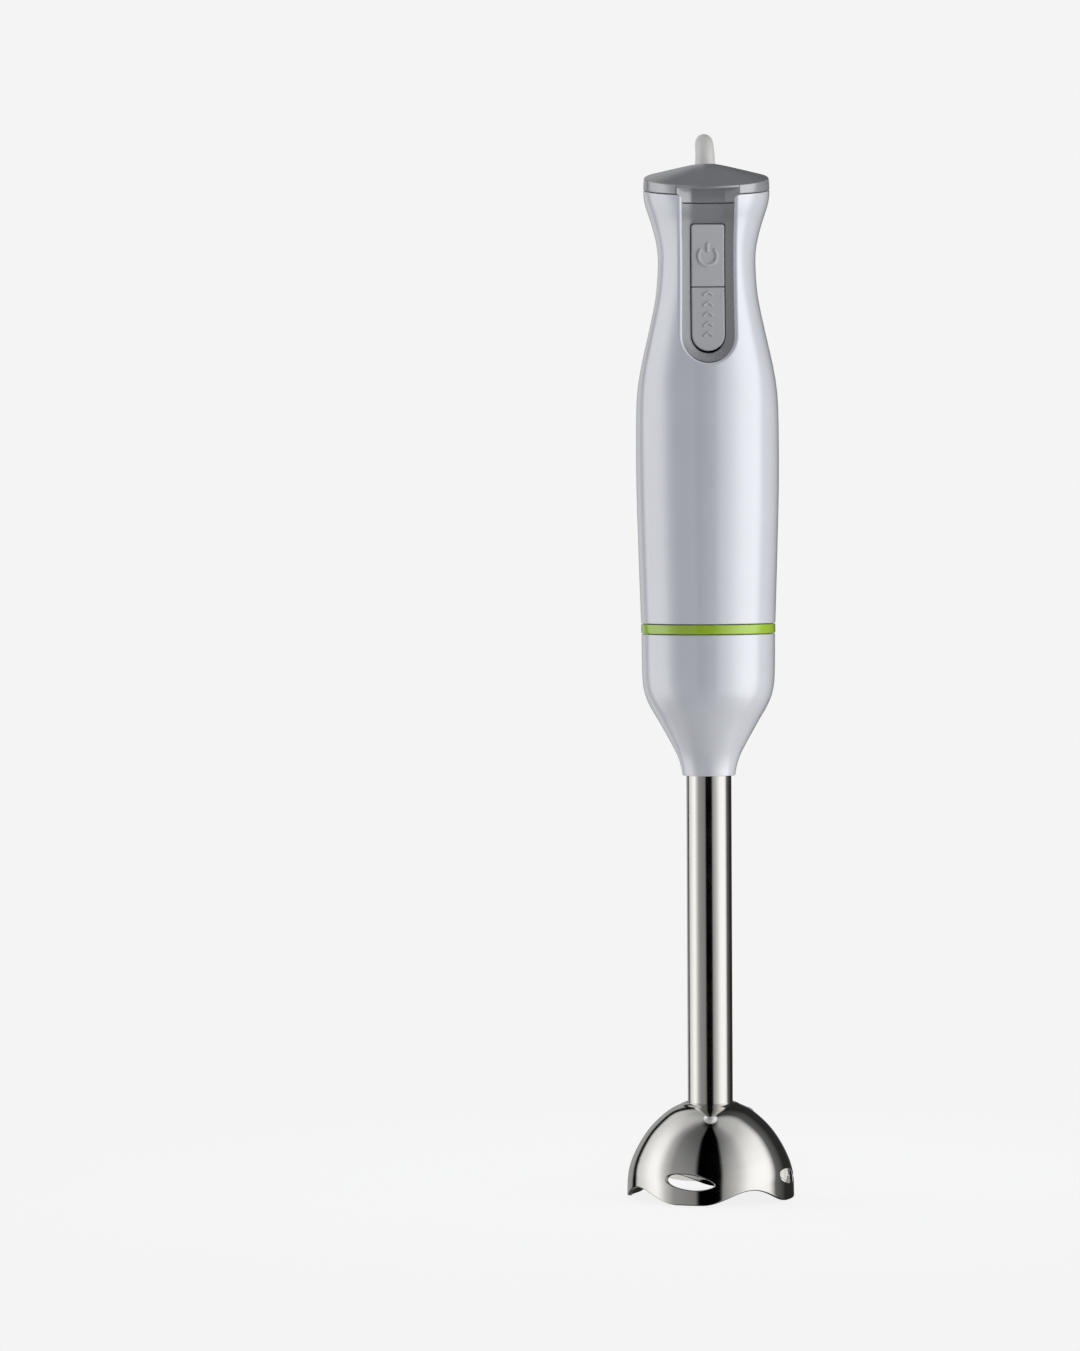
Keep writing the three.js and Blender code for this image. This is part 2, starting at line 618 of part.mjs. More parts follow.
const blade = subgroup();
add(blade, 'drive_shaft', rod(SHAFT_RADIUS, [8.5, 191]), DARK_STEEL);
add(blade, 'wand_coupling', coupling(SHAFT_RADIUS, [186.3, 194], [193.5, 201], 90), BLACK);
add(blade, 'cutting_blade', cuttingBlade(), STEEL);
add(blade, 'blade_hub', collar(SHAFT_RADIUS + GAP, 6, [14.1, 20]), NATURAL_NYLON);
const nutProfile = [[0, 6.6], [5.2, 6.6], [5.2, 12.3], [3.9, 12.3], [3.9, 8.2], [0, 8.2]];
add(blade, 'blade_nut', turned(nutProfile, 6), STEEL);
add(blade, 'shaft_clip', collar(SHAFT_RADIUS + GAP, 5, [178.4, 179.4]), DARK_STEEL);

const lockRing = subgroup();
add(lockRing, 'trim_ring', collar(22.4, 24.85, RING_Z, ROUND), GREEN);
add(lockRing, 'bayonet_ring', bayonetRing(), NATURAL_NYLON);

const handle = subgroup();
add(handle, 'front_housing', frontHousing(), WHITE);
add(handle, 'rear_housing', rearHousing(), WHITE);
add(handle, 'top_cap', topCap(), CAP_GREY);
add(handle, 'control_panel', controlPanel(), PANEL_GREY);
add(handle, 'motor_carrier', motorCarrier(), NATURAL_NYLON);
add(handle, 'motor_bracket', collar(6, 23.4, [290.3, 292.5], 24), NATURAL_NYLON);
add(handle, 'lower_mount', collar(16.5, 20.6, [218.3, 225.7], 24), RUBBER);
add(handle, 'upper_mount', collar(8.3, 14, [285.6, 290], 20), RUBBER);
add(handle, 'control_board', box([-7.5, 7.5], [-2, -0.4], [302, 361]), BOARD);
add(handle, 'power_switch', switchBody(POWER_SWITCH_Z), BLACK);
add(handle, 'turbo_switch', switchBody(TURBO_SWITCH_Z), BLACK);
add(handle, 'suppression_capacitor', box([-6, 6], [-0.1, 7], [304, 320]), GREEN);
const clampHoles = [-1, 1].map((side) => rodAlongY(1.5, [0, 14], side * 5.5, 354));
add(handle, 'cord_clamp', cut(box([-8, 8], [5, 9], [350, 358]), ...clampHoles), NATURAL_NYLON);
for (const [side, name] of [[-1, 'left'], [1, 'right']]) {
  const clampScrew = screw(2.2, 1.2, 6).rotateX(Math.PI / 2);
  add(handle, `clamp_screw_${name}`, clampScrew, DARK_STEEL, [side * 5.5, 4.7, 354]);
}

const motor = subgroup();
const canProfile = [[6.5, 226], [18.6, 226], [18.6, 282], [17, 282], [17, 228], [6.5, 228]];
const endProfile = [[5.4, 282.3], [18.6, 282.3], [18.6, 285.3], [8, 285.3], [8, 290], [5.4, 290]];
add(motor, 'motor_can', turned(canProfile, 28), DARK_STEEL);
const tieHoles = [-1, 1].map((side) => rod(1.3, [280, 288], 12).translate(0, side * MOTOR_SCREW_Y, 0));
add(motor, 'motor_end_cap', cut(turned(endProfile, 28), ...tieHoles), BLACK);
for (const [side, name] of [[-1, 'front'], [1, 'rear']]) {
  add(motor, `motor_screw_${name}`, screw(1.5, 0.9, 13), DARK_STEEL, [0, side * MOTOR_SCREW_Y, 285.6]);
}
add(motor, 'lower_bearing', collar(MOTOR_SHAFT_RADIUS + GAP, 6.1, [226.2, 230.2], 20), BRONZE);
add(motor, 'upper_bearing', collar(MOTOR_SHAFT_RADIUS + GAP, 5.1, [284, 288], 20), BRONZE);
for (const [turn, name] of [[Math.PI, 'left'], [0, 'right']]) {
  add(motor, `motor_magnet_${name}`, sector(14.4, 16.7, 90, 130, [234, 270]), BLACK, [0, 0, 0], turn);
  add(motor, `brush_holder_${name}`, brushHolder(), BRONZE, [0, 0, 0], turn);
  add(motor, `carbon_brush_${name}`, box([5.9, 14], [-2.2, 2.2], [276, 280.5]), BLACK, [0, 0, 0], turn);
}

const rotor = subgroup();
add(rotor, 'motor_shaft', rod(MOTOR_SHAFT_RADIUS, [204, 289]), DARK_STEEL);
add(rotor, 'armature_core', armatureCore(), DARK_STEEL);
add(rotor, 'armature_winding', armatureWinding(), COPPER);
add(rotor, 'commutator', collar(MOTOR_SHAFT_RADIUS + GAP, 5.5, [272, 281.7], 20), COPPER);
add(rotor, 'cooling_fan', coolingFan(), BLACK);
add(rotor, 'motor_coupling', coupling(MOTOR_SHAFT_RADIUS, [203.2, 212], [195.6, 203.7], 0), BLACK);

const buttons = subgroup();
const [split, half] = [BUTTON_SPLIT_Z, GAP / 2];
add(buttons, 'power_button', button(split + half, BUTTON_TOP_Z, false, POWER_SWITCH_Z), BUTTON_GREY);
add(buttons, 'turbo_button', button(BUTTON_BOTTOM_Z, split - half, true, TURBO_SWITCH_Z), BUTTON_GREY);
add(buttons, 'power_plunger', rodAlongY(1.2, [-10, -6], 0, POWER_SWITCH_Z), BLACK);
add(buttons, 'turbo_plunger', rodAlongY(1.2, [-10, -6], 0, TURBO_SWITCH_Z), BLACK);

const lead = subgroup();
add(lead, 'cord_boot', cordBoot(), LEAD);
add(lead, 'cord_drop', leadTube(), LEAD);
add(lead, 'cord_hank', cordHank(), LEAD);
add(lead, 'cord_tie', cordTie(), BLACK);
add(lead, 'plug_body', plugBody(), LEAD, [HANK_X, PLUG_Y, PLUG_Z]);
for (const [side, name] of [[-1, 'left'], [1, 'right']]) {
  const blade2 = box([-0.75, 0.75], [PLUG_FACE + GAP, PLUG_FACE + 17], [-3.1, 3.1]);
  add(lead, `plug_blade_${name}`, blade2, STEEL, [HANK_X + side * 6.35, PLUG_Y, PLUG_Z]);
}

export default blender;
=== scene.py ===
"""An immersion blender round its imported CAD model: fine shells, the lead, materials, stage and light."""
from functools import cache
from math import asin, copysign, cos, exp, hypot, pi, radians, sin, sqrt

import bmesh
import bpy
from mathutils import Matrix, Vector
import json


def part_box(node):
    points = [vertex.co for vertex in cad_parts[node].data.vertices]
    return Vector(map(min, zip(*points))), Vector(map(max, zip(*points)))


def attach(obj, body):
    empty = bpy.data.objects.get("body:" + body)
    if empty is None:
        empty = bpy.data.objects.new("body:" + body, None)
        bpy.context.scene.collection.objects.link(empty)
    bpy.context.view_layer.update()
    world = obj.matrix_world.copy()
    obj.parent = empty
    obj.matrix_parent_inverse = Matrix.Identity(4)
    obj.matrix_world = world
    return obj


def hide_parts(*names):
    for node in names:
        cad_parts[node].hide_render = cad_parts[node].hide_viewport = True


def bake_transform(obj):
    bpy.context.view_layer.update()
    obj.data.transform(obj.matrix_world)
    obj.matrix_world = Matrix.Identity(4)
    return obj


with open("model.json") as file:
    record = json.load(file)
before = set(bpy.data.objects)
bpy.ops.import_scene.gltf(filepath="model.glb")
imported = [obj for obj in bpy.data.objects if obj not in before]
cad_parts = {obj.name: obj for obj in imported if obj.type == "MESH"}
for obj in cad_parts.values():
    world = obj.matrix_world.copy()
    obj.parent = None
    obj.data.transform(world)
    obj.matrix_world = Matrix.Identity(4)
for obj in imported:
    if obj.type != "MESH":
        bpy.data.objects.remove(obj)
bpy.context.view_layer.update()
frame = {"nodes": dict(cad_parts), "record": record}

MM = 0.001
TAU = 2 * pi

# ---- dimensions in millimetres
# They are the CAD model's, but for PANEL_SLOPE_DEPTH, which is 0.3 more here, and the lines inside the hank.
GAP = 0.3
WALL = 2.2
HANDLE_OUTLINE = [
    (213.3, 24.9), (240, 25.75), (265, 26.4), (286, 26.4), (298, 26.0), (307, 24.7), (320, 21.8),
    (333.5, 19.0), (344, 18.1), (352, 18.3), (360.5, 20.3), (369, 23.05), (374, 23.4), (378.1, 23.06),
]
COLLAR_OUTLINE = [
    (156.7, 9.8), (159.5, 10.2), (164, 11.6), (168.4, 13.8), (177.4, 18.8), (181.8, 21.4),
    (186.3, 23.4), (190.5, 24.3), (197, 24.65), (209.3, 24.75),
]
BELL_OUTLINE = [
    (0, 31.05), (7.7, 30.75), (12.2, 29.8), (16.7, 28.0), (21.1, 25.6), (25.6, 22.4), (30, 18.0),
    (33.2, 13.6), (35.2, 8.65),
]
GRIP_Z, GRIP_EXTRA_DEPTH, GRIP_SPAN = 344, 1.9, 22
CAP_SEAM_Z, CAP_SEAM_TILT, SEAM_BLEND_Z = 373.4, 3.0, 362
CAP_RIM_Z, CAP_RIM_TILT, CAP_CREST_Z = 378.1, 4.2, 383.4
PANEL_HALF, FACET_HALF = 10.2, 6.25
PANEL_BOTTOM_Z, PANEL_TOP_Z, PANEL_LIP_SINK, PANEL_SLOPE_DEPTH = 309.2, 367.6, 0.9, 1.7
BUTTON_HALF, BUTTON_PROUD, BUTTON_THICK = 6.1, 0.9, 4.4
BUTTON_TOP_Z, BUTTON_SPLIT_Z, BUTTON_BOTTOM_Z = 360.1, 337.2, 313.6
TUBE_RADIUS = 8.35
BELL_WALL, LOBES, LOBE_TURN, LOBE_FLAT = 1.5, 4, radians(-16.5), radians(9)
ARCH_HEIGHT, WINDOW_HALF, WINDOW_Z = 5.1, 9.3, (5.7, 11.3)
BOOT_ARC_RADIUS, BOOT_TOP = 25, (30.5, 392.7)
CORD_RADIUS = 2.8
LEAD_ROUTE = [
    (0, 41.1, 390.4), (0, 46.6, 386.8), (0, 52.15, 380.2), (0, 55.5, 367.7), (0.2, 56.3, 350),
    (0.6, 57.0, 310), (0.9, 57.4, 260), (0.9, 57.6, 210), (0.5, 57.5, 160), (0.2, 57.3, 110),
    (0.1, 57.2, 70), (0.1, 57.2, 52), (0.2, 57.4, 39), (0.4, 60.3, 27.4), (0.9, 68.7, 19.0),
    (1.6, 80.2, 15.9), (1.9, 86, 15.9),
]
HANK_X, HANK_ENDS_Y, HANK_TURN_RADIUS = 2.5, (53.8, 159.8), 17.0
HANK_LAYERS_Z = (3.75, 9.35)
HANK_STRAIGHT_Y = 118  # where the lead has come into line with the hank
HANK_SINK = 2.9  # how far it sinks from there to the first fold
HANK_STEP_Y = (62, 118)  # the stretch where it goes down from the upper layer to the lower
TIE_Y, TIE_WIDTH, TIE_THICK = 92, 5, 0.8
PLUG_Y, PLUG_Z, PLUG_FACE = 95, 6.5, 41

# ---- camera
CAMERA_AT = (-0.0625, -2.16, 0.263)
CAMERA_TARGET_Z = 0.1941
CAMERA_ROLL = radians(-0.31)
CAMERA_LENS, CAMERA_SENSOR = 155.2, 36


def add_object(name, data):
    obj = bpy.data.objects.new(name, data)
    bpy.context.scene.collection.objects.link(obj)
    return obj


def make_camera():
    data = bpy.data.cameras.new("camera")
    data.sensor_width = CAMERA_SENSOR
    data.lens = CAMERA_LENS
    camera = add_object("camera", data)
    camera.location = CAMERA_AT
    aim = Vector((CAMERA_AT[0], 0, CAMERA_TARGET_Z)) - Vector(CAMERA_AT)
    turn = aim.to_track_quat("-Z", "Y").to_matrix() @ Matrix.Rotation(CAMERA_ROLL, 3, "Z")
    camera.rotation_euler = turn.to_euler()
    bpy.context.scene.camera = camera


make_camera()


# ---- mesh helpers
class Skin:
    """The points, in millimetres, and faces of one mesh."""

    def __init__(self):
        self.points = []
        self.faces = []

    def row(self, points):
        start = len(self.points)
        self.points.extend(points)
        return list(range(start, start + len(points)))

    def bridge(self, a, b, closed):
        count = len(a)
        for i in range(count if closed else count - 1):
            j = (i + 1) % count
            self.faces.append((a[i], a[j], b[j], b[i]))

    def sheet(self, rows, closed=False):
        """Quads over rows of points. closed joins each row's last point to its first."""
        ids = [self.row(r) for r in rows]
        for a, b in zip(ids, ids[1:]):
            self.bridge(a, b, closed)
        return ids

    def tube(self, rings, looped=False):
        """A closed skin over rings of points: its ends are capped, or its last ring meets its first."""
        ids = self.sheet(rings, closed=True)
        if looped:
            self.bridge(ids[-1], ids[0], True)
        else:
            self.faces.append(tuple(reversed(ids[0])))
            self.faces.append(tuple(ids[-1]))
        return self


def piece(name, skin, slot, body, replaces=(), sharp=38):
    """Makes one closed, smoothly shaded mesh object of a skin, which rides on a CAD body."""
    mesh = bpy.data.meshes.new(name)
    mesh.from_pydata([tuple(c * MM for c in p) for p in skin.points], [], skin.faces)
    bm = bmesh.new()
    bm.from_mesh(mesh)
    bmesh.ops.remove_doubles(bm, verts=bm.verts, dist=2e-6)
    bmesh.ops.dissolve_degenerate(bm, edges=bm.edges, dist=1e-7)
    bmesh.ops.recalc_face_normals(bm, faces=bm.faces)
    bm.to_mesh(mesh)
    bm.free()
    mesh.shade_smooth()
    mesh.set_sharp_from_angle(angle=radians(sharp))
    obj = add_object(name, mesh)
    mesh.materials.append(MATERIALS[slot])
    if body:
        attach(obj, body)
    if replaces:
        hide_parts(*replaces)
    return obj


def steps(start, end, count):
    return [start + (end - start) * i / count for i in range(count + 1)]


def mix(a, b, share):
    return a + (b - a) * share


def through(points):
    """A smooth curve through (z, value) points, as a function of z, and straight beyond both ends."""
    last = len(points) - 1
    slopes = []
    for i in range(last + 1):
        (z0, v0), (z1, v1) = points[max(i - 1, 0)], points[min(i + 1, last)]
        slopes.append((v1 - v0) / (z1 - z0))

    def value(z):
        if z <= points[0][0]:
            return points[0][1] + slopes[0] * (z - points[0][0])
        if z >= points[last][0]:
            return points[last][1] + slopes[last] * (z - points[last][0])
        i = next(k for k in range(last) if z <= points[k + 1][0])
        (z0, v0), (z1, v1) = points[i], points[i + 1]
        h = z1 - z0
        t = (z - z0) / h
        return (
            (2 * t**3 - 3 * t**2 + 1) * v0 + (t**3 - 2 * t**2 + t) * h * slopes[i]
            + (3 * t**2 - 2 * t**3) * v1 + (t**3 - t**2) * h * slopes[i + 1]
        )

    return value


def evened(curve, spread):
    """The same curve averaged over a short span, so that reflections on it run evenly."""
    offsets = [spread * k / 4 for k in range(-8, 9)]
    weights = [exp(-((d / spread) ** 2)) for d in offsets]
    total = sum(weights)
    return cache(lambda z: sum(w * curve(z + d) for d, w in zip(offsets, weights)) / total)


def rounding(distance, radius):
    """How deep a surface lies at that distance from its rounded edge."""
    if distance >= radius:
        return 0.0
    return radius - sqrt(max(radius**2 - (radius - max(distance, 0)) ** 2, 0))


def around(radius, turn, z):
    """A point by its distance from the axis and its turn from the front."""
    return (radius * sin(turn), -radius * cos(turn), z)


def lathe(profile, facets):
    """A solid of revolution about Z from a closed loop of (radius, z) points."""
    rings = [[around(r, TAU * i / facets, z) for r, z in profile] for i in range(facets)]
    return Skin().tube(rings, looped=True)


def corner(radius, start, end, count):
    """The points of a rounded corner about (0, 0), with its angles in degrees."""
    turns = [radians(a) for a in steps(start, end, count)]
    return [(radius * cos(a), radius * sin(a)) for a in turns]


# ---- shader nodes
NOISE_SPAN = (0.3, 0.7)  # where most of a noise's values lie
COAT_ROUGHNESS = 0.1


def add_node(tree, kind, inputs=()):
    """Adds a shader node. inputs maps its sockets to values, or to the outputs that feed them."""
    node = tree.nodes.new("ShaderNode" + kind)
    for socket, value in dict(inputs).items():
        if isinstance(value, bpy.types.NodeSocket):
            tree.links.new(value, node.inputs[socket])
        else:
            node.inputs[socket].default_value = value
    return node


def add_ramp(tree, factor, stops):
    """Colours along a factor, from (position, colour) stops."""
    node = add_node(tree, "ValToRGB", {"Fac": factor})
    elements = node.color_ramp.elements
    while len(elements) < len(stops):
        elements.new(0.5)
    for element, (position, color) in zip(elements, stops):
        element.position = position
        element.color = (*color, 1)
    return node.outputs["Color"]


def feed(material, socket, output):
    """Links an output to a socket of the material's main shader."""
    tree = material.node_tree
    tree.links.new(output, tree.nodes["Principled BSDF"].inputs[socket])


# ---- materials
def shader(name, color, roughness, metallic=0.0, coat=0.0, ior=1.5):
    material = bpy.data.materials.new(name)
    material.use_nodes = True
    inputs = material.node_tree.nodes["Principled BSDF"].inputs
    inputs["Base Color"].default_value = (*color, 1)
    inputs["Roughness"].default_value = roughness
    inputs["Metallic"].default_value = metallic
    inputs["Coat Weight"].default_value = coat
    inputs["Coat Roughness"].default_value = COAT_ROUGHNESS
    inputs["IOR"].default_value = ior
    return material


def noise(material, scale, detail=3.0, stretch=(1, 1, 1)):
    """A noise pattern in the object's own metres; a stretch below 1 draws it out along that axis."""
    tree = material.node_tree
    place = add_node(tree, "TexCoord").outputs["Object"]
    mapping = add_node(tree, "Mapping", {"Vector": place, "Scale": stretch})
    wanted = {"Vector": mapping.outputs["Vector"], "Scale": scale, "Detail": detail}
    return add_node(tree, "TexNoise", wanted).outputs["Fac"]


def bump(material, height, distance):
    wanted = {"Height": height, "Distance": distance, "Strength": 1.0}
    feed(material, "Normal", add_node(material.node_tree, "Bump", wanted).outputs["Normal"])


def vary_gloss(material, factor, roughness, share):
    """Spreads a noise over a range of roughness."""
    span = add_node(material.node_tree, "MapRange", {
        "Value": factor, "From Min": NOISE_SPAN[0], "From Max": NOISE_SPAN[1],
        "To Min": roughness * (1 - share), "To Max": roughness * (1 + share),
    })
    feed(material, "Roughness", span.outputs["Result"])


def vary_color(material, factor, color, share):
    """Spreads a noise between a share of the colour and the colour itself."""
    stops = zip(NOISE_SPAN, (tuple(c * share for c in color), color))
    feed(material, "Base Color", add_ramp(material.node_tree, factor, list(stops)))


def moulded(name, color, roughness, grain=0.0, pitch=0.4, coat=0.0, ior=1.5, pearl=0.0):
    """A moulded plastic: slightly uneven in colour and gloss, with a fine grain of that pitch in mm."""
    material = shader(name, color, roughness, metallic=pearl, coat=coat, ior=ior)
    vary_color(material, noise(material, 60), color, 0.975)
    vary_gloss(material, noise(material, 140), roughness, 0.12)
    if grain:
        bump(material, noise(material, 1000 / pitch, 2.0), grain * MM)
    return material


def metal(name, color, roughness, streak=0.0, stretch=(1, 1, 1), pitch=0.3):
    """A bare metal with fine streaks of that pitch in mm."""
    material = shader(name, color, roughness, metallic=1.0)
    vary_gloss(material, noise(material, 90), roughness, 0.2)
    if streak:
        bump(material, noise(material, 1000 / pitch, 3.0, stretch), streak * MM)
    return material


def make_materials():
    """Every material slot's material, by name."""
    along_z = (1, 1, 0.01)
    made = [
        moulded("housing_white", (0.83, 0.835, 0.88), 0.19, 0.0015, 1.2, coat=1.0, ior=1.6, pearl=0.2),
        moulded("cap_grey", (0.54, 0.545, 0.56), 0.2, 0.0015, 0.8, coat=0.3, pearl=0.52),
        moulded("panel_grey", (0.42, 0.425, 0.44), 0.28, 0.0008, 0.5, coat=0.4, pearl=0.38),
        moulded("button_grey", (0.55, 0.555, 0.56), 0.42, 0.06, 0.6, ior=1.6),
        moulded("trim_green", (0.42, 0.64, 0.045), 0.18, 0.0015, 0.8, coat=1.0, ior=1.8, pearl=0.1),
        metal("polished_steel", (0.85, 0.84, 0.81), 0.07, 0.00005, pitch=2.0),
        metal("tube_steel", (0.86, 0.84, 0.80), 0.12, 0.0006, along_z, 0.25),
        metal("dark_steel", (0.38, 0.38, 0.39), 0.35, 0.001),
        metal("bronze", (0.55, 0.36, 0.16), 0.42, 0.004, pitch=0.15),
        metal("copper", (0.62, 0.26, 0.1), 0.3, 0.01, (0.05, 0.05, 1), 0.4),
        moulded("black_plastic", (0.022, 0.022, 0.024), 0.42, 0.006),
        moulded("natural_nylon", (0.66, 0.64, 0.57), 0.4, 0.005),
        moulded("rubber_black", (0.03, 0.03, 0.031), 0.75, 0.01, 0.3),
        moulded("magnet_ferrite", (0.07, 0.07, 0.075), 0.6, 0.01, 0.2),
        moulded("board_green", (0.03, 0.16, 0.07), 0.45, 0.005, 0.6),
        moulded("capacitor_yellow", (0.66, 0.46, 0.06), 0.38, 0.003),
        moulded("lead_grey", (0.80, 0.775, 0.735), 0.36, 0.004, 0.7, coat=0.3),
        moulded("tie_black", (0.03, 0.03, 0.03), 0.55, 0.01, 0.5),
    ]
    # Blender numbers a name that one of the loaded materials has already.
    return {material.name.split(".")[0]: material for material in made}


MATERIALS = make_materials()


def finish_cad_nodes():
    """Each CAD node that stays in view gets its slot's material."""
    slot_of = {s["node"]: s["material_slot"] for s in frame["record"]["subparts"]}
    for name, obj in frame["nodes"].items():
        obj.data.materials.clear()
        obj.data.materials.append(MATERIALS[slot_of[name]])


finish_cad_nodes()


# ---- the lead
def curve_between(points, spacing):
    """A smooth line through points (centripetal Catmull-Rom), with points about every spacing."""
    ends = [2 * Vector(points[0]) - Vector(points[1])] + [Vector(p) for p in points]
    ends.append(2 * Vector(points[-1]) - Vector(points[-2]))
    line = []
    for p0, p1, p2, p3 in zip(ends, ends[1:], ends[2:], ends[3:]):
        t1 = (p1 - p0).length ** 0.5
        t2 = t1 + (p2 - p1).length ** 0.5
        t3 = t2 + (p3 - p2).length ** 0.5
        count = max(2, round((p2 - p1).length / spacing))
        for k in range(count):
            t = t1 + (t2 - t1) * k / count
            a1 = mix(p0, p1, t / t1)
            a2 = mix(p1, p2, (t - t1) / (t2 - t1))
            a3 = mix(p2, p3, (t - t2) / (t3 - t2))
            b1 = mix(a1, a2, t / t2)
            b2 = mix(a2, a3, (t - t1) / (t3 - t1))
            line.append(mix(b1, b2, (t - t1) / (t2 - t1)))
    line.append(Vector(points[-1]))
    return line


def ease(t):
    return (1 - cos(pi * min(max(t, 0), 1))) / 2


def hank_route():
    """The folded length: two layers of one long loop, then in to the plug that lies inside it."""
    near, far = HANK_ENDS_Y
    low, high = HANK_LAYERS_Z
    start_x, start_y, start_z = LEAD_ROUTE[-1]
    fold_z = start_z - HANK_SINK * ease(0.8)
    step_start, step_end = HANK_STEP_Y
    r = HANK_TURN_RADIUS
    side_a, side_b = HANK_X + r, HANK_X - r

    def fold(y, first, last, z_of):
        """A half turn about (HANK_X, y), between two angles in degrees."""
        turns = [radians(a) for a in steps(first, last, 9)]
        return [(HANK_X + r * cos(a), y + r * sin(a), z_of(i / 9)) for i, a in enumerate(turns)]

    def step_z(y):
        return mix(high, low, ease((y - step_start) / (step_end - step_start)))

    route = [(mix(start_x, HANK_X, t), mix(start_y, HANK_STRAIGHT_Y, t), start_z)
             for t in steps(0.25, 0.95, 3)]
    route += [(HANK_X + r * ease(t), mix(HANK_STRAIGHT_Y, far, t), start_z - HANK_SINK * ease(t * 0.8))
              for t in steps(0, 1, 6)[:-1]]
    route += fold(far, 0, 180, lambda t: mix(fold_z, high, ease(t * 1.5)))
    route += [(side_b, y, high) for y in steps(far, near, 5)[1:-1]]
    route += fold(near, 180, 360, lambda t: high)
    route += [(side_a, y, step_z(y)) for y in steps(near, far, 10)[1:-1]]
    route += fold(far, 0, 180, lambda t: low)
    route += [(side_b, y, low) for y in steps(far, near, 5)[1:-1]]
    route += fold(near, 180, 360, lambda t: low)
    route += [(side_a - r * ease(t), mix(near, PLUG_Y + 3, t), mix(low, PLUG_Z, ease(t)))
              for t in steps(0, 1, 6)[1:]]
    return route


def tube_along(line, radius, sides=16):
    """A round tube along a line of points, whose sections turn as little as they can."""
    rings = []
    across = Vector((1, 0, 0))
    for i, p in enumerate(line):
        ahead = (line[min(i + 1, len(line) - 1)] - line[max(i - 1, 0)]).normalized()
        across = (across - ahead * across.dot(ahead)).normalized()
        other = ahead.cross(across)
        size = radius(i) if callable(radius) else radius
        rings.append([tuple(p + across * size * cos(TAU * k / sides)
                            + other * size * sin(TAU * k / sides)) for k in range(sides)])
    return Skin().tube(rings)


BOOT_STEPS, BOOT_TURN = 64, (64, -24)  # degrees along its arc, from inside the cap to its tip
BOOT_RADIUS, BOOT_TAPER = 3.75, 0.7
BOOT_RIBS, BOOT_RIB_DEPTH, BOOT_RIBBED = 13, 0.16, (0.5, 0.97)
PLUG_RIB_ROOT, PLUG_RIB_BASE, PLUG_RIB_RISE, PLUG_RIB_HALF = 5.6, 6.15, 0.45, 8
PIN_OFFSET, PIN_HALF_X, PIN_HALF_Z = 6.35, 0.75, 3.1


def boot_line():
    """The strain relief's centre line, which begins inside the cap."""
    y, z = BOOT_TOP
    return [Vector((0, y - BOOT_ARC_RADIUS * sin(a), z - BOOT_ARC_RADIUS * (1 - cos(a))))
            for a in steps(radians(BOOT_TURN[0]), radians(BOOT_TURN[1]), BOOT_STEPS)]


def boot_radius(i):
    t = i / BOOT_STEPS
    ribbed = BOOT_RIBBED[0] < t < BOOT_RIBBED[1]
    rib = BOOT_RIB_DEPTH * max(0, sin(TAU * t * BOOT_RIBS)) if ribbed else 0
    return BOOT_RADIUS - BOOT_TAPER * t - rib


def plug_section(along, half_x, half_z, power, count=48):
    """A section between an ellipse (power 2) and a rectangle (a high power)."""
    def bend(v):
        return copysign(abs(v) ** (2 / power), v)

    turns = [TAU * k / count for k in range(count)]
    return [(HANK_X + half_x * bend(cos(a)), PLUG_Y + along, PLUG_Z + half_z * bend(sin(a)))
            for a in turns]


def plug_rib(side, along):
    """A grip rib across the plug's upper or lower face."""
    lines = []
    root = PLUG_Z + side * PLUG_RIB_ROOT
    for t in steps(-1, 1, 16):
        top = PLUG_Z + side * (PLUG_RIB_BASE + PLUG_RIB_RISE * sqrt(max(1 - t**8, 0)))
        shoulder = top - side * 0.12
        section = ((-0.55, root), (-0.4, shoulder), (0, top), (0.4, shoulder), (0.55, root))
        lines.append([(HANK_X + PLUG_RIB_HALF * t, PLUG_Y + along + y, z) for y, z in section])
    return lines


def plug_shell():
    stations = [(0, 3.5, 3.5, 2), (0.4, 3.9, 3.9, 2), (4, 4.1, 4.1, 2), (8, 4.4, 4.3, 2), (12, 4.8, 4.6, 2),
                (14, 6.4, 5.0, 2.2), (16, 8.4, 5.4, 2.6), (18.5, 10.7, 5.8, 3.2), (21, 12.0, 6.1, 3.8),
                (23, 12.3, 6.2, 4.4), (PLUG_FACE - 2.6, 12.3, 6.2, 5), (PLUG_FACE - 1.4, 12.15, 6.05, 5),
                (PLUG_FACE - 0.5, 11.8, 5.75, 5), (PLUG_FACE, 11.1, 5.1, 5)]
    skin = Skin().tube([plug_section(*s) for s in stations])
    for side in (-1, 1):
        for along in steps(25, 35, 5):
            skin.tube(plug_rib(side, along))
    return skin


def plug_blade(side):
    """A flat contact with rounded edges and a chamfered tip."""
    x0 = HANK_X + side * PIN_OFFSET
    section = [(-0.7, -1), (0.7, -1), (1, -0.93), (1, 0.93), (0.7, 1), (-0.7, 1), (-1, 0.93), (-1, -0.93)]
    rings = []
    for y, size in [(-0.5, 1), (15.2, 1), (16.2, 0.9), (16.9, 0.66)]:
        half_x, half_z = PIN_HALF_X * size, PIN_HALF_Z * mix(0.35, 1, size)
        rings.append([(x0 + half_x * x, PLUG_Y + PLUG_FACE + y, PLUG_Z + half_z * z) for x, z in section])
    return Skin().tube(rings)


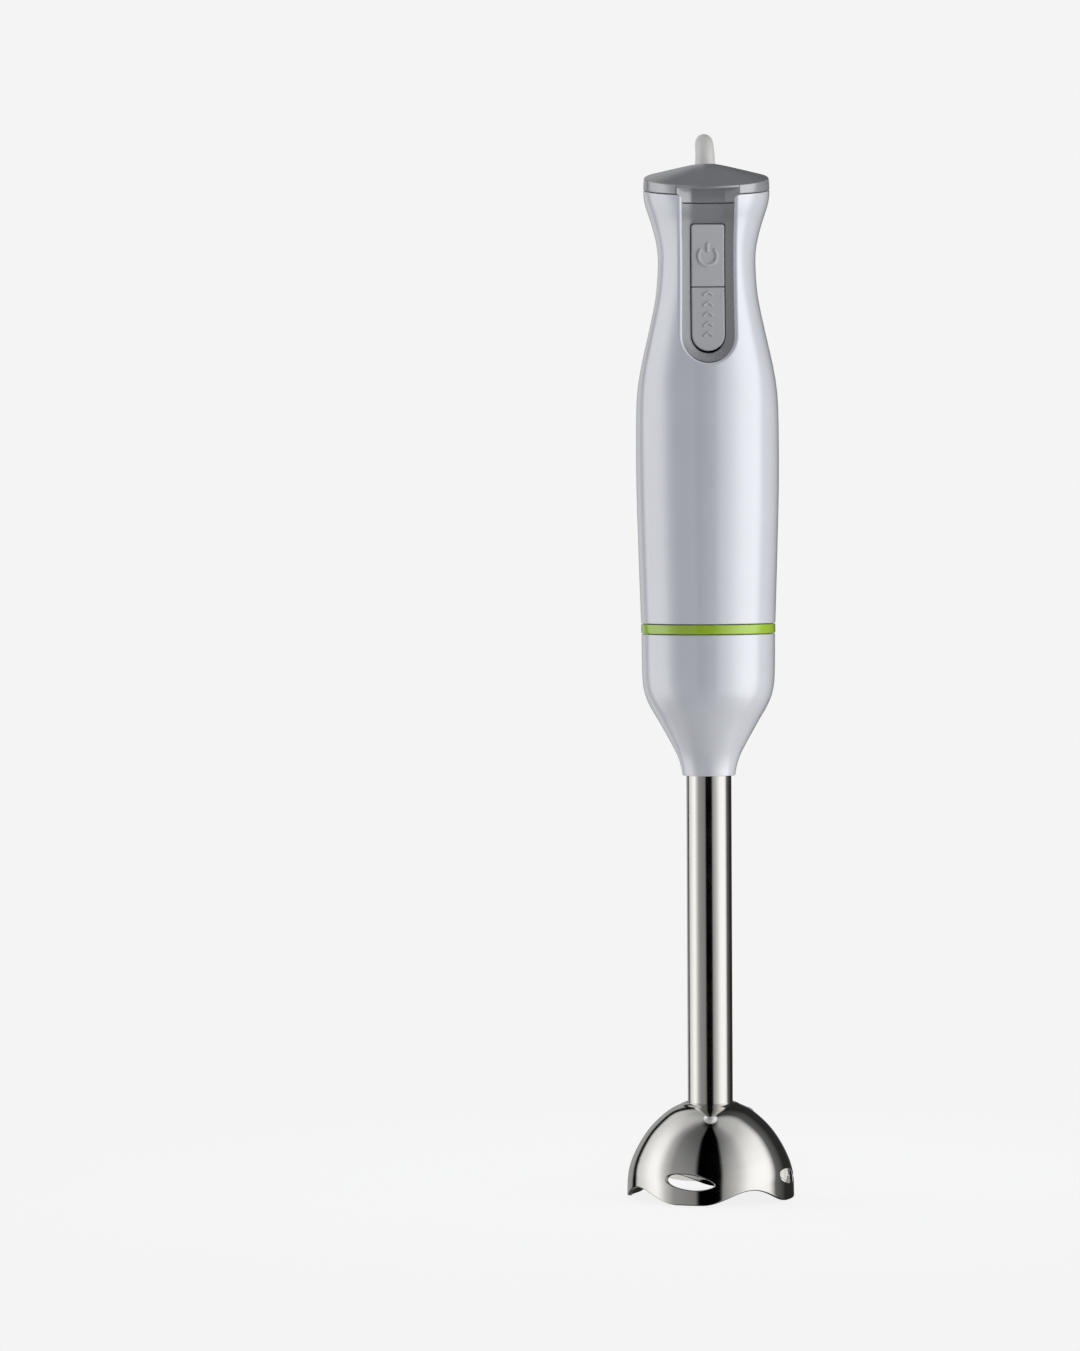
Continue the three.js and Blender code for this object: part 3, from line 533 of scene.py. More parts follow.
def tie_strap():
    """A flat strap round the hank and over the run on top of it."""
    inner = [(-20.1, 0.8), (20.1, 0.8), (20.1, 12.5), (4.5, 19.1), (-4.5, 19.1), (-20.1, 12.5)]
    edge, face, flat = TIE_WIDTH / 2, TIE_THICK - 0.02, TIE_WIDTH / 2 - 0.3
    section = [(-edge, 0.15), (-edge, face - 0.18), (-flat, face), (flat, face), (edge, face - 0.18),
               (edge, 0.15), (flat, 0.02), (-flat, 0.02)]
    rings = []
    for i, here in enumerate(inner):
        at_corner = Vector(here)
        before = (Vector(inner[i - 1]) - at_corner).normalized()
        after = (Vector(inner[(i + 1) % len(inner)]) - at_corner).normalized()
        between = before + after
        out_before, out_after = Vector((-before.y, before.x)), Vector((after.y, -after.x))
        stations = [(before * 0.9, out_before), (before * 0.45, out_before)]
        stations.append((between * 0.12, -between.normalized()))
        stations += [(after * 0.45, out_after), (after * 0.9, out_after)]
        for offset, out in stations:
            at = at_corner + offset
            rings.append([(HANK_X + at.x + out.x * d, TIE_Y + w, max(at.y + out.y * d, 0.02))
                          for w, d in section])
    return Skin().tube(rings, looped=True)


def make_lead():
    route = LEAD_ROUTE[:-1] + hank_route()
    line = curve_between(route, 3.0)
    cord = piece("lead_cord", tube_along(line, CORD_RADIUS), "lead_grey", None)
    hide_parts("cord_drop", "cord_hank")
    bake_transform(cord)
    boot = tube_along(boot_line(), boot_radius, 24)
    boot_piece = piece("boot_sleeve", boot, "lead_grey", "handle", ["cord_boot"])
    plug = piece("plug_shell", plug_shell(), "lead_grey", "lock_ring", ["plug_body"])
    left = piece("plug_pin_left", plug_blade(-1), "polished_steel", "lock_ring", ["plug_blade_left"])
    right = piece("plug_pin_right", plug_blade(1), "polished_steel", "lock_ring", ["plug_blade_right"])
    tie = piece("tie_strap", tie_strap(), "tie_black", "lock_ring", ["cord_tie"])


make_lead()


# ---- the handle's form
half_width = evened(through(HANDLE_OUTLINE), 2.6)


@cache
def half_depth(z):
    return half_width(z) + GRIP_EXTRA_DEPTH * exp(-(((z - GRIP_Z) / GRIP_SPAN) ** 2))


def tilt(level):
    """How much lower the front is than the sides, which grows towards the cap's seam."""
    return CAP_SEAM_TILT * min(max((level - SEAM_BLEND_Z) / (CAP_SEAM_Z - SEAM_BLEND_Z), 0), 1)


def on_handle(turn, level, inset=0.0):
    """A point of the handle's surface by its turn from the front and its level before the seam's tilt."""
    return (
        (half_width(level) - inset) * sin(turn),
        -(half_depth(level) - inset) * cos(turn),
        level - tilt(level) * cos(turn),
    )


@cache
def level_at(z):
    """The level that the tilt puts at that height in front."""
    level = z
    for _ in range(12):
        level = z + tilt(level)
    return level


def surface_y(x, z):
    """How far forward the handle's own surface is, seen from the front at x and z."""
    level = level_at(round(z, 4))
    return -half_depth(level) * sqrt(max(1 - (x / half_width(level)) ** 2, 0))


ARC_Z = PANEL_BOTTOM_Z + PANEL_HALF  # centre of the slot's half-round bottom
CREASE = 0.5  # how softly the panel's slopes leave its facet


@cache
def lip_y(z):
    """How far forward the housing is beside the panel."""
    return surface_y(PANEL_HALF, z)


def facet_y(z):
    return lip_y(z) + PANEL_LIP_SINK + PANEL_SLOPE_DEPTH


def slope_share(away):
    """How far up the panel's slope a point is, by its distance from the middle: 0 on the facet."""
    excess = away - FACET_HALF
    return (excess + hypot(excess, CREASE)) / 2 / (PANEL_HALF - FACET_HALF)


def channel_y(x, z):
    """The channel that holds the panel: a flat facet between slopes that rise to the housing all round."""
    drop = min(z - ARC_Z, 0)
    away = hypot(x, drop)
    floor = facet_y(round(z, 4))
    if away < 1e-6:
        return floor
    edge_x = PANEL_HALF * x / away
    edge_z = z - drop + PANEL_HALF * drop / away
    edge = surface_y(edge_x, edge_z) + PANEL_LIP_SINK
    return mix(floor, edge, slope_share(away))


LIP = 1.1  # rounding of the housing's edge beside the panel
EDGE = 0.3  # rounding of its other edges
SLOT_CORNER = 1.4  # radius of the housing's two corners at the top of the slot
FINE = [0, 0.02, 0.08, 0.18, 0.32, 0.5, 0.7, 0.9, 1.1, 1.45]
SEAM_FINE = [0.9, 0.5, 0.3, 0.18, 0.08, 0.02, 0]
HOUSING_BOTTOM_Z = HANDLE_OUTLINE[0][0]
SEAM_RADIUS, EDGE_RADIUS = 25, 24  # the handle's radius, roughly, which makes turns of distances round it
HALF_SEAM = GAP / 2 / SEAM_RADIUS
FRONT_EDGE = pi / 2 - HALF_SEAM
REAR_EDGE = pi / 2 + HALF_SEAM
SIDE_SHARE = 0.2  # the share of the slot's bottom, on each side, whose spokes end on the side seam


def slot_edge(level):
    """Half the slot's width, which opens out round the housing's corners at the top."""
    below = CAP_SEAM_Z - level
    if below >= SLOT_CORNER:
        return PANEL_HALF
    return PANEL_HALF + SLOT_CORNER - sqrt(max(SLOT_CORNER**2 - (SLOT_CORNER - below) ** 2, 0))


def shell_inset(x, level, turn):
    """How deep the housing's outside lies near its edges."""
    below = CAP_SEAM_Z - level
    side = (pi / 2 - abs(turn)) * half_depth(level) - GAP / 2
    inset = rounding(min(below, side, level - HOUSING_BOTTOM_Z), EDGE)
    cx, cy = abs(x) - (PANEL_HALF + SLOT_CORNER), SLOT_CORNER - below
    if level < ARC_Z:
        inset = max(inset, rounding(hypot(x, level - ARC_Z) - PANEL_HALF, LIP))
    elif cx < 0 < cy:
        away = hypot(cx, cy)
        radius = EDGE + (LIP - EDGE) * (cx / away) ** 2
        inset = max(inset, rounding(SLOT_CORNER - away, radius))
    else:
        inset = max(inset, rounding(abs(x) - PANEL_HALF, LIP))
    return inset


def level_spoke(side, level):
    """The turns and levels of a line from the slot's side edge to the side seam."""
    start = [(side * asin((slot_edge(level) + d) / half_width(level)), level) for d in FINE]
    return start, [(side * (FRONT_EDGE - d / EDGE_RADIUS), level) for d in SEAM_FINE]


def fan_spoke(fan):
    """The same for a line from the slot's round bottom, to a side seam or to the lower rim."""
    a = radians(fan)
    start = []
    for d in FINE:
        x, z = (PANEL_HALF + d) * cos(a), ARC_Z + (PANEL_HALF + d) * sin(a)
        start.append((asin(x / half_width(z)), z))
    share = (fan - 180) / 180
    if SIDE_SHARE < share < 1 - SIDE_SHARE:
        turn = FRONT_EDGE * (2 * (share - SIDE_SHARE) / (1 - 2 * SIDE_SHARE) - 1)
        return start, [(turn, HOUSING_BOTTOM_Z + d) for d in SEAM_FINE]
    side = -1 if share < 0.5 else 1
    t = min(share, 1 - share) / SIDE_SHARE
    level = mix(ARC_Z, HOUSING_BOTTOM_Z, t)
    rise = 1 if t > 0.999 else 0  # the spoke to the housing's very corner rises along both edges
    return start, [(side * (FRONT_EDGE - d / SEAM_RADIUS), level + d * rise) for d in SEAM_FINE]


def front_line(start, border):
    """A closed line over the front housing, out along a spoke and back inside."""
    (turn0, level0), (turn1, level1) = start[-1], border[0]
    middle = [(mix(turn0, turn1, t), mix(level0, level1, t)) for t in steps(0, 1, 42)[1:-1]]
    outside = start + middle + border
    ring = [on_handle(turn, level, shell_inset(half_width(level) * sin(turn), level, turn))
            for turn, level in outside]
    (turn0, level0), (turn1, level1) = outside[-1], outside[0]
    return ring + [on_handle(mix(turn0, turn1, t), mix(level0, level1, t), WALL) for t in steps(0, 1, 9)]


def shell_levels():
    top = [CAP_SEAM_Z - d for d in (0, 0.03, 0.1, 0.2, 0.32, 0.5, 0.75, 1.0, 1.25, 1.5, 2.0)]
    return top + steps(CAP_SEAM_Z - 2.8, ARC_Z, 34)


def front_shell():
    down = shell_levels()
    spokes = [level_spoke(-1, level) for level in down]
    spokes += [fan_spoke(fan) for fan in steps(180, 360, 100)[1:-1]]
    spokes += [level_spoke(1, level) for level in reversed(down)]
    return Skin().tube([front_line(*spoke) for spoke in spokes])


def rear_shell():
    low = HOUSING_BOTTOM_Z
    levels = shell_levels() + steps(ARC_Z, low + 1, 50)[1:]
    levels += [low + d for d in SEAM_FINE[1:]]
    turns = [REAR_EDGE + d / EDGE_RADIUS for d in reversed(SEAM_FINE)]
    turns += steps(turns[-1], TAU - turns[-1], 72)[1:-1]
    turns += [TAU - t for t in reversed(turns[:len(SEAM_FINE)])]
    rings = []
    for level in levels:
        ring = []
        for turn in turns:
            side = (min(turn, TAU - turn) - REAR_EDGE) * half_depth(level)
            inset = rounding(min(side, CAP_SEAM_Z - level, level - low), EDGE)
            ring.append(on_handle(turn, level, inset))
        ring += [on_handle(t, level, WALL) for t in steps(TAU - REAR_EDGE, REAR_EDGE, 12)]
        rings.append(ring)
    return Skin().tube(rings)


# ---- the cap
CAP_EDGE = 0.55  # rounding of its rim
CAP_RADIUS = 23.3  # roughly, which makes turns of distances round it
CHANNEL_OUT = 11.45  # half-width of the channel where it crosses the cap's band
CHANNEL_TURN = asin(CHANNEL_OUT / CAP_RADIUS)
CAP_UNDERCUT = 0.25  # how deep the band lies under the crest where the channel has just ended
DOME_FALL, DOME_ROUNDNESS = 0.2, 0.25  # the dome's slope at the rim, and how round its crest is
TONGUE_GAP, TONGUE_EDGE, TONGUE_THICK = 0.22, 0.25, 1.6


def cap_columns():
    """Places round the cap as (x, None) in the channel and (None, turn) elsewhere, from the rear round."""
    across = [0, 1.5, 3, 4.4, 5.3, 5.8, 6.1, 6.4, 6.7, 7.2, 8.2, 9.4, 10.4, 11.0, 11.25, CHANNEL_OUT]
    near = [CHANNEL_TURN + d / 23 for d in (0.05, 0.15, 0.3, 0.5, 0.75, 1.05)]
    turns = near + steps(near[-1], pi, 64)[1:]
    right = [(x, None) for x in across] + [(None, turn) for turn in turns]
    left = [(-x, None) if x else (None, -t) for x, t in reversed(right[1:-1])]
    return right + left


def cap_point(column, level, inset=0.0, rim_tilt=CAP_SEAM_TILT, open_front=True):
    """A point of the cap's outside: in its channel's column, or over it where the channel has ended."""
    x, turn = column
    width = half_width(level)
    if turn is not None:
        side = (abs(turn) - CHANNEL_TURN) * width
        deep = inset + rounding(side, CAP_EDGE)
        return (
            (width - deep) * sin(turn),
            -(half_depth(level) - deep) * cos(turn),
            level - rim_tilt * cos(turn),
        )
    turn = asin(x / width)
    z = level - rim_tilt * cos(turn)
    if not open_front:
        return (x * (width - inset) / width, -(half_depth(level) - inset) * cos(turn), z)
    edge = PANEL_LIP_SINK - half_depth(level) * sqrt(1 - (PANEL_HALF / width) ** 2)
    return (x, edge + PANEL_SLOPE_DEPTH * (1 - slope_share(abs(x))), z)


def cap_shell():
    columns = cap_columns()
    seam = CAP_SEAM_Z + GAP
    rim = CAP_RIM_Z - CAP_EDGE
    rings = []
    for d in (0, 0.02, 0.08, 0.18, EDGE):
        rings.append([cap_point(c, seam + d, 0.0 if c[1] is None else rounding(d, EDGE)) for c in columns])

    def band(t, open_front, undercut=0.0):
        level, tilted = mix(seam + EDGE, rim, t), mix(CAP_SEAM_TILT, CAP_RIM_TILT, t)
        return [cap_point(c, level, undercut if c[1] is None else 0, tilted, open_front) for c in columns]

    rings += [band(t, True) for t in steps(0.08, 0.8, 8)]
    rings += [band(0.82, False, CAP_UNDERCUT), band(0.9, False), band(1, False)]
    for a in steps(0, pi / 2 - DOME_FALL, 6)[1:]:
        level, inset = rim + CAP_EDGE * sin(a), CAP_EDGE * (1 - cos(a))
        rings.append([cap_point(c, level, inset, CAP_RIM_TILT, False) for c in columns])
    edge = rings[-1]

    def fallen(t):
        return (hypot(t, DOME_ROUNDNESS) - DOME_ROUNDNESS) / (hypot(1, DOME_ROUNDNESS) - DOME_ROUNDNESS)

    for t in steps(1, 0, 40)[1:-1]:
        rings.append([(x * t, y * t, mix(CAP_CREST_Z, z, fallen(t))) for x, y, z in edge])
    return Skin().tube(rings)


def cap_tongue(skin):
    """Adds the strip of the cap that closes the top of the panel's slot."""
    bottom = PANEL_TOP_Z + GAP
    top = CAP_SEAM_Z + GAP + EDGE - CAP_SEAM_TILT
    shares = [1, 0.995, 0.98, 0.95, 0.9, 0.82, 0.74, 0.68, 0.64, 0.61, 0.58, 0.54, 0.48, 0.36, 0.18]
    shares = [-share for share in shares] + [0] + shares[::-1]
    rows = []
    for z in [bottom + d for d in (0, 0.03, 0.1, 0.2, 0.35)] + steps(bottom + 0.6, top, 14):
        half = min(slot_edge(min(level_at(round(z, 4)), CAP_SEAM_Z)) - TONGUE_GAP, CHANNEL_OUT)
        front = []
        for x in (share * half for share in shares):
            sink = rounding(min(half - abs(x), z - bottom), TONGUE_EDGE)
            front.append((x, channel_y(x, z) + sink, z))
        rows.append(front + [(x * 0.999, y + TONGUE_THICK, z) for x, y, z in reversed(front)])
    return skin.tube(rows)


# ---- panel and buttons
PLATE_EDGE, PLATE_THICK, PLATE_SLANT = 0.25, 1.7, 2.2
KEY_EDGE, KEY_CROWN = 0.5, 0.1
MARK_ROOT = 0.15  # how deep the marks on the keys reach below the surface
POWER_MARK_Z, POWER_MARK_RADIUS, POWER_MARK_WIDTH = 348.5, 3.4, 1.3
BOOST_MARK_Z, BOOST_MARK_HALF, BOOST_MARK_WIDTH = (319.2, 334.2), 1.9, 0.9


def stadium_outline(half, bottom, top, top_radius, counts, bottom_radius=None, shift=0.0):
    """Leftwards round from the middle of the top, as (x, z); shift moves the lower round's end up."""
    n_top, n_side, n_arc = counts
    radius = half if bottom_radius is None else bottom_radius
    left = [(-t * (half - top_radius), top) for t in steps(0, 1, n_top)]
    left += [(top_radius - half + p, top - top_radius + q) for p, q in corner(top_radius, 90, 180, 6)[1:]]
    left += [(-half, z) for z in steps(top - top_radius, bottom + radius, n_side)[1:]]
    left += [(radius - half + p, bottom + radius + q * (1 - shift / radius))
             for p, q in corner(radius, 180, 270, n_arc)[1:]]
    if radius < half:
        left += [(-t * (half - radius), bottom) for t in steps(1, 0, n_top)[1:]]
    right = [(-x, z) for x, z in reversed(left[1:-1])]
    return left + right


def panel_plate():
    counts = (10, 44, 22)
    low, high = BUTTON_BOTTOM_Z - GAP, BUTTON_TOP_Z + GAP
    inner = stadium_outline(BUTTON_HALF + GAP, low, high, 1.1, counts, shift=-0.55)
    low = PANEL_BOTTOM_Z + PLATE_EDGE
    outer = stadium_outline(PANEL_HALF - PLATE_EDGE, low, PANEL_TOP_Z, PLATE_EDGE, counts)
    rings = []
    for (x0, z0), (x1, z1) in zip(inner, outer):
        span = hypot(x1 - x0, z1 - z0)
        near = [d / span for d in (0, 0.02, 0.07, 0.14, PLATE_EDGE)]
        shares = near + steps(near[-1], 1 - near[-1], 16)[1:-1] + [1 - t for t in reversed(near)]
        ring = []
        for t in shares:
            x, z = mix(x0, x1, t), mix(z0, z1, t)
            ring.append((x, channel_y(x, z) + rounding(min(t, 1 - t) * span, PLATE_EDGE), z))
        x_out, y_out, z_out = ring[-1]
        x_in, y_in, z_in = ring[0]
        back_in = max(y_in + PLATE_THICK, y_out + PLATE_THICK - PLATE_SLANT)
        ring += [(x_out, y_out + PLATE_THICK, z_out), (x_in, back_in, z_in)]
        rings.append(ring)
    return Skin().tube(rings, looped=True)


def button_y(x, z):
    return facet_y(round(z, 4)) - BUTTON_PROUD + KEY_CROWN * (x / BUTTON_HALF) ** 2


def button_key(outline, spine):
    """A key with a rounded edge: lines from its outline to its spine, and straight sides going in."""
    low, high = spine
    rings = []
    for x0, z0 in outline:
        z1 = min(max(z0, low), high)
        span = hypot(x0, z1 - z0)
        near = [d / span for d in (0, 0.02, 0.06, 0.13, 0.22, 0.34, 0.5)]
        ring = [(x0, button_y(x0, z0) + BUTTON_THICK, z0)]
        for t in near + steps(near[-1], 1, 14)[1:]:
            x, z = mix(x0, 0, t), mix(z0, z1, t)
            ring.append((x, button_y(x, z) + rounding(t * span, KEY_EDGE), z))
        ring.append((0, button_y(0, z1) + BUTTON_THICK, z1))
        rings.append(ring)
    skin = Skin().tube(rings, looped=True)
    # The faces that lie wholly in the plane of the spine are an inner wall, so they go.
    skin.faces = [face for face in skin.faces if any(skin.points[i][0] for i in face)]
    return skin


def ribbon(skin, path, width, height):
    """A raised line with a rounded section on a button, along (x, z) points, with rounded ends."""
    count = len(path)
    rings = []
    travelled = [0.0]
    for (x0, z0), (x1, z1) in zip(path, path[1:]):
        travelled.append(travelled[-1] + hypot(x1 - x0, z1 - z0))
    for i, (x, z) in enumerate(path):
        (xa, za), (xb, zb) = path[max(i - 1, 0)], path[min(i + 1, count - 1)]
        size = hypot(xb - xa, zb - za)
        nx, nz = -(zb - za) / size, (xb - xa) / size
        end = min(travelled[i], travelled[-1] - travelled[i])
        narrow = sqrt(max(1 - (1 - min(end / (width / 2), 1)) ** 2, 0.02))
        ring = []
        for a in steps(0, pi, 8):
            off = width / 2 * narrow * cos(a)
            px, pz = x + nx * off, z + nz * off
            ring.append((px, button_y(px, pz) - height * narrow * sin(a) ** 0.6, pz))
        off = width / 2 * narrow
        root = button_y(x, z) + MARK_ROOT
        ring += [(x - nx * off, root, z - nz * off), (x + nx * off, root, z + nz * off)]
        rings.append(ring)
    return skin.tube(rings)


def power_mark():
    """The generic standby sign: an open ring and a bar in its gap."""
    turns = [radians(a) for a in steps(38, 322, 48)]
    arc = [(POWER_MARK_RADIUS * sin(a), POWER_MARK_Z + POWER_MARK_RADIUS * cos(a)) for a in turns]
    bar = [(0, z) for z in steps(POWER_MARK_Z + 1.3, POWER_MARK_Z + 5.1, 14)]
    skin = Skin()
    for path in (arc, bar):
        ribbon(skin, path, POWER_MARK_WIDTH, 0.5)
    return skin


def boost_mark():
    """A generic row of arrowheads for the faster speed."""
    skin = Skin()
    for z in steps(*BOOST_MARK_Z, 4):
        arms = [(x, z + 1.25 - abs(x) * 0.8) for x in steps(-BOOST_MARK_HALF, BOOST_MARK_HALF, 20)]
        ribbon(skin, arms, BOOST_MARK_WIDTH, 0.42)
    return skin


# ---- wand
TUBE_BOTTOM_Z, TUBE_TOP_Z, TUBE_WALL = 31, 180, 1
JOINT_BORE = 22.4  # inner radius of the collar's mouth and of the ring
BELL_TOP_ROW = 15.5  # height where the lobes' patches meet the dome
BELL_BEND = 30.6  # the bell's radius at the windows, which makes turns of distances round it
BELL_EDGE = 0.45
WINDOW_COUNTS = (28, 12)  # points along the window's length and round each of its ends
WINDOW_SLOPE = 0.1

collar_radius = evened(through(COLLAR_OUTLINE), 1.3)
bell_radius = evened(through(BELL_OUTLINE), 1.0)


def collar_profile():
    top, bottom = COLLAR_OUTLINE[-1][0], COLLAR_OUTLINE[0][0]
    profile = [(collar_radius(z), z) for z in steps(bottom + 0.5, top - 0.35, 90)]
    profile += [(24.74, top - 0.2), (24.66, top - 0.07), (24.5, top), (JOINT_BORE, top), (JOINT_BORE, 198)]
    profile += [(21.2, 189.5), (18, 184.5), (5.5, 184.5), (5.5, TUBE_TOP_Z + GAP)]
    profile += [(TUBE_RADIUS + GAP, TUBE_TOP_Z + GAP), (TUBE_RADIUS + GAP, bottom)]
    low = collar_radius(bottom + 0.5)
    profile += [(low - 0.4, bottom), (low - 0.12, bottom + 0.12)]
    return profile


def ring_profile():
    low, high = (c.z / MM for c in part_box("trim_ring"))
    edge = [(24.6, 0), (24.78, 0.07), (24.87, 0.25), (24.9, 0.6)]
    return [(JOINT_BORE, low)] + [(r, low + d) for r, d in edge] + [
        (r, high - d) for r, d in reversed(edge)] + [(JOINT_BORE, high)]


def tube_profile():
    low, high, inside = TUBE_BOTTOM_Z, TUBE_TOP_Z, TUBE_RADIUS - TUBE_WALL
    outside = [low] + steps(low + 1, high - 1, 12) + [high]
    return [(inside, low)] + [(TUBE_RADIUS, z) for z in outside] + [(inside, high)]


def rim_height(turn):
    """The height of the bell's edge at a turn from a lobe's middle: flat lobes with arches between them."""
    period = TAU / LOBES
    away = abs(turn - period * round(turn / period))
    t = max(0, (away - LOBE_FLAT) / (period / 2 - LOBE_FLAT))
    return ARCH_HEIGHT * sin(pi / 2 * t) ** 2


def on_bell(turn, z, inset):
    """A point of the bell by its turn, its height and its depth along the surface's normal."""
    slope = (bell_radius(z + 0.05) - bell_radius(z - 0.05)) / 0.1
    size = hypot(1, slope)
    r = bell_radius(z) - inset / size
    return around(r, turn, z + inset * slope / size)


def window_outline():
    """The window as (arc length, z) points: a lens with one rounder end, sloping down to the right."""
    middle = sum(WINDOW_Z) / 2
    half_z = (WINDOW_Z[1] - WINDOW_Z[0]) / 2
    points = []
    across, ends = WINDOW_COUNTS
    total = 2 * (across + ends)
    for k in range(total):
        a = -pi / 2 + TAU * (k - across / 2) / total
        c, s = cos(a), sin(a)
        power = 1.0 if c > 0 else 0.8
        x = WINDOW_HALF * c
        body = abs(s) ** 0.95 * (1 - 0.25 * max(c, 0) ** 2)
        points.append((x, middle - WINDOW_SLOPE * x + half_z * copysign(body**power, s)))
    return points


def sector_frame():
    """The border of one lobe's patch: the rim, a side, the upper edge and the other side, as (turn, z)."""
    across, ends = WINDOW_COUNTS
    eighth = TAU / LOBES / 2
    rounded = [rim_height(eighth) + d for d in (0, 0.03, 0.1, 0.2, 0.32, 0.46, 0.7)]
    side = rounded + steps(rounded[-1], BELL_TOP_ROW, ends + 1 - len(rounded))[1:]
    low = [(t, rim_height(t)) for t in steps(-eighth, eighth, across)][:-1]
    right = [(eighth, z) for z in side][:-1]
    top = [(t, BELL_TOP_ROW) for t in steps(eighth, -eighth, across)][:-1]
    left = [(-eighth, z) for z in reversed(side)][:-1]
    return low + right + top + left


def bell_patch(skin, lobe):
    """One lobe with its window: lines from the window's edge to the patch's border, outside and inside."""
    middle_turn = LOBE_TURN + TAU * lobe / LOBES
    across, _ = WINDOW_COUNTS
    fine = [0, 0.02, 0.07, 0.15, 0.27, 0.42, 0.6]
    outside, inside = [], []
    for (arc, z0), (turn1, z1) in zip(window_outline(), sector_frame()):
        turn0 = arc / BELL_BEND
        length = hypot((turn1 - turn0) * BELL_BEND, z1 - z0)
        start = [d / length for d in fine]
        end = [1 - d / length for d in reversed(fine)]
        shares = start + steps(start[-1], end[0], 22)[1:-1] + end
        out_line, in_line = [], []
        for t in shares:
            turn, z = mix(turn0, turn1, t), mix(z0, z1, t)
            sink = rounding(min(t * length, z - rim_height(turn)), BELL_EDGE)
            out_line.append(on_bell(middle_turn + turn, z, sink))
            in_line.append(on_bell(middle_turn + turn, z, BELL_WALL - sink * 0.5))
        outside.append(out_line)
        inside.append(in_line)
    out_ids = skin.sheet(outside)
    in_ids = skin.sheet(inside)
    skin.bridge(out_ids[-1], out_ids[0], False)
    skin.bridge(in_ids[-1], in_ids[0], False)
    skin.bridge([r[0] for r in out_ids], [r[0] for r in in_ids], True)
    skin.bridge([r[-1] for r in out_ids[:across + 1]], [r[-1] for r in in_ids[:across + 1]], False)


def bell_dome(skin):
    """The dome above the windows, outside and inside, and its neck round the tube."""
    across, _ = WINDOW_COUNTS
    columns = across * LOBES
    top = BELL_OUTLINE[-1][0]
    turns = [LOBE_TURN - TAU / LOBES / 2 + TAU * k / columns for k in range(columns)]
    heights = steps(BELL_TOP_ROW, 30, 26) + steps(30, top - 1.0, 16)[1:]
    neck = TUBE_RADIUS + 0.12

    def neck_ring(z, r=neck):
        return [around(r, t, z) for t in turns]

    rings = [[on_bell(t, z, 0) for t in turns] for z in heights]
    last_r = hypot(*rings[-1][0][:2])
    for t in steps(0, 1, 8)[1:]:
        rings.append(neck_ring(top - 1.0 + sin(t * pi / 2) ** 0.9, mix(last_r, neck, t)))
    rings.append(neck_ring(top - 2.2))
    rings += [[on_bell(t, z, BELL_WALL) for t in turns] for z in reversed(steps(BELL_TOP_ROW, 31.5, 20))]
    skin.sheet(rings, closed=True)


def bell_skin():
    skin = Skin()
    for lobe in range(LOBES):
        bell_patch(skin, lobe)
    bell_dome(skin)
    return skin


# ---- making the pieces
def make_handle():
    piece("front_shell", front_shell(), "housing_white", "handle", ["front_housing"])
    piece("rear_shell", rear_shell(), "housing_white", "handle", ["rear_housing"])
    piece("cap_shell", cap_tongue(cap_shell()), "cap_grey", "handle", ["top_cap"])
    piece("panel_plate", panel_plate(), "panel_grey", "handle", ["control_panel"])
    low, high = BUTTON_SPLIT_Z + GAP / 2, BUTTON_TOP_Z
    outline = stadium_outline(BUTTON_HALF, low, high, 1.0, (8, 30, 6), bottom_radius=0.3)
    power = button_key(outline, (BUTTON_SPLIT_Z + 6, high - 6))
    piece("power_key", power, "button_grey", "power_button", ["power_button"])
    low, high = BUTTON_BOTTOM_Z, BUTTON_SPLIT_Z - GAP / 2
    outline = stadium_outline(BUTTON_HALF, low, high, 0.3, (8, 30, 20))
    turbo = button_key(outline, (low + BUTTON_HALF, BUTTON_SPLIT_Z - 6))
    piece("turbo_key", turbo, "button_grey", "turbo_button", ["turbo_button"])
    piece("power_mark", power_mark(), "button_grey", "power_button")
    piece("boost_mark", boost_mark(), "button_grey", "turbo_button")


def make_wand():
    piece("collar_shell", lathe(collar_profile(), 144), "housing_white", "wand", ["wand_collar"])
    piece("ring_band", lathe(ring_profile(), 144), "trim_green", "lock_ring", ["trim_ring"])
    piece("steel_tube", lathe(tube_profile(), 96), "tube_steel", "wand", ["wand_tube"])
    piece("bell_shell", bell_skin(), "polished_steel", "wand", ["bell_guard"], sharp=50)


make_handle()
make_wand()


# ---- stage and light
PAPER = (0.905, 0.905, 0.905)  # the pale surroundings that the camera sees
FLOOR_SIZE, FLOOR_AT = 0.8, (0, 0.04, -0.0004)  # metres
FLOOR_FADE = (0.05, 0.34)  # how far from its middle it begins to fade, and is gone
FLOOR_GLOW, FLOOR_GREY = 0.93, 0.12


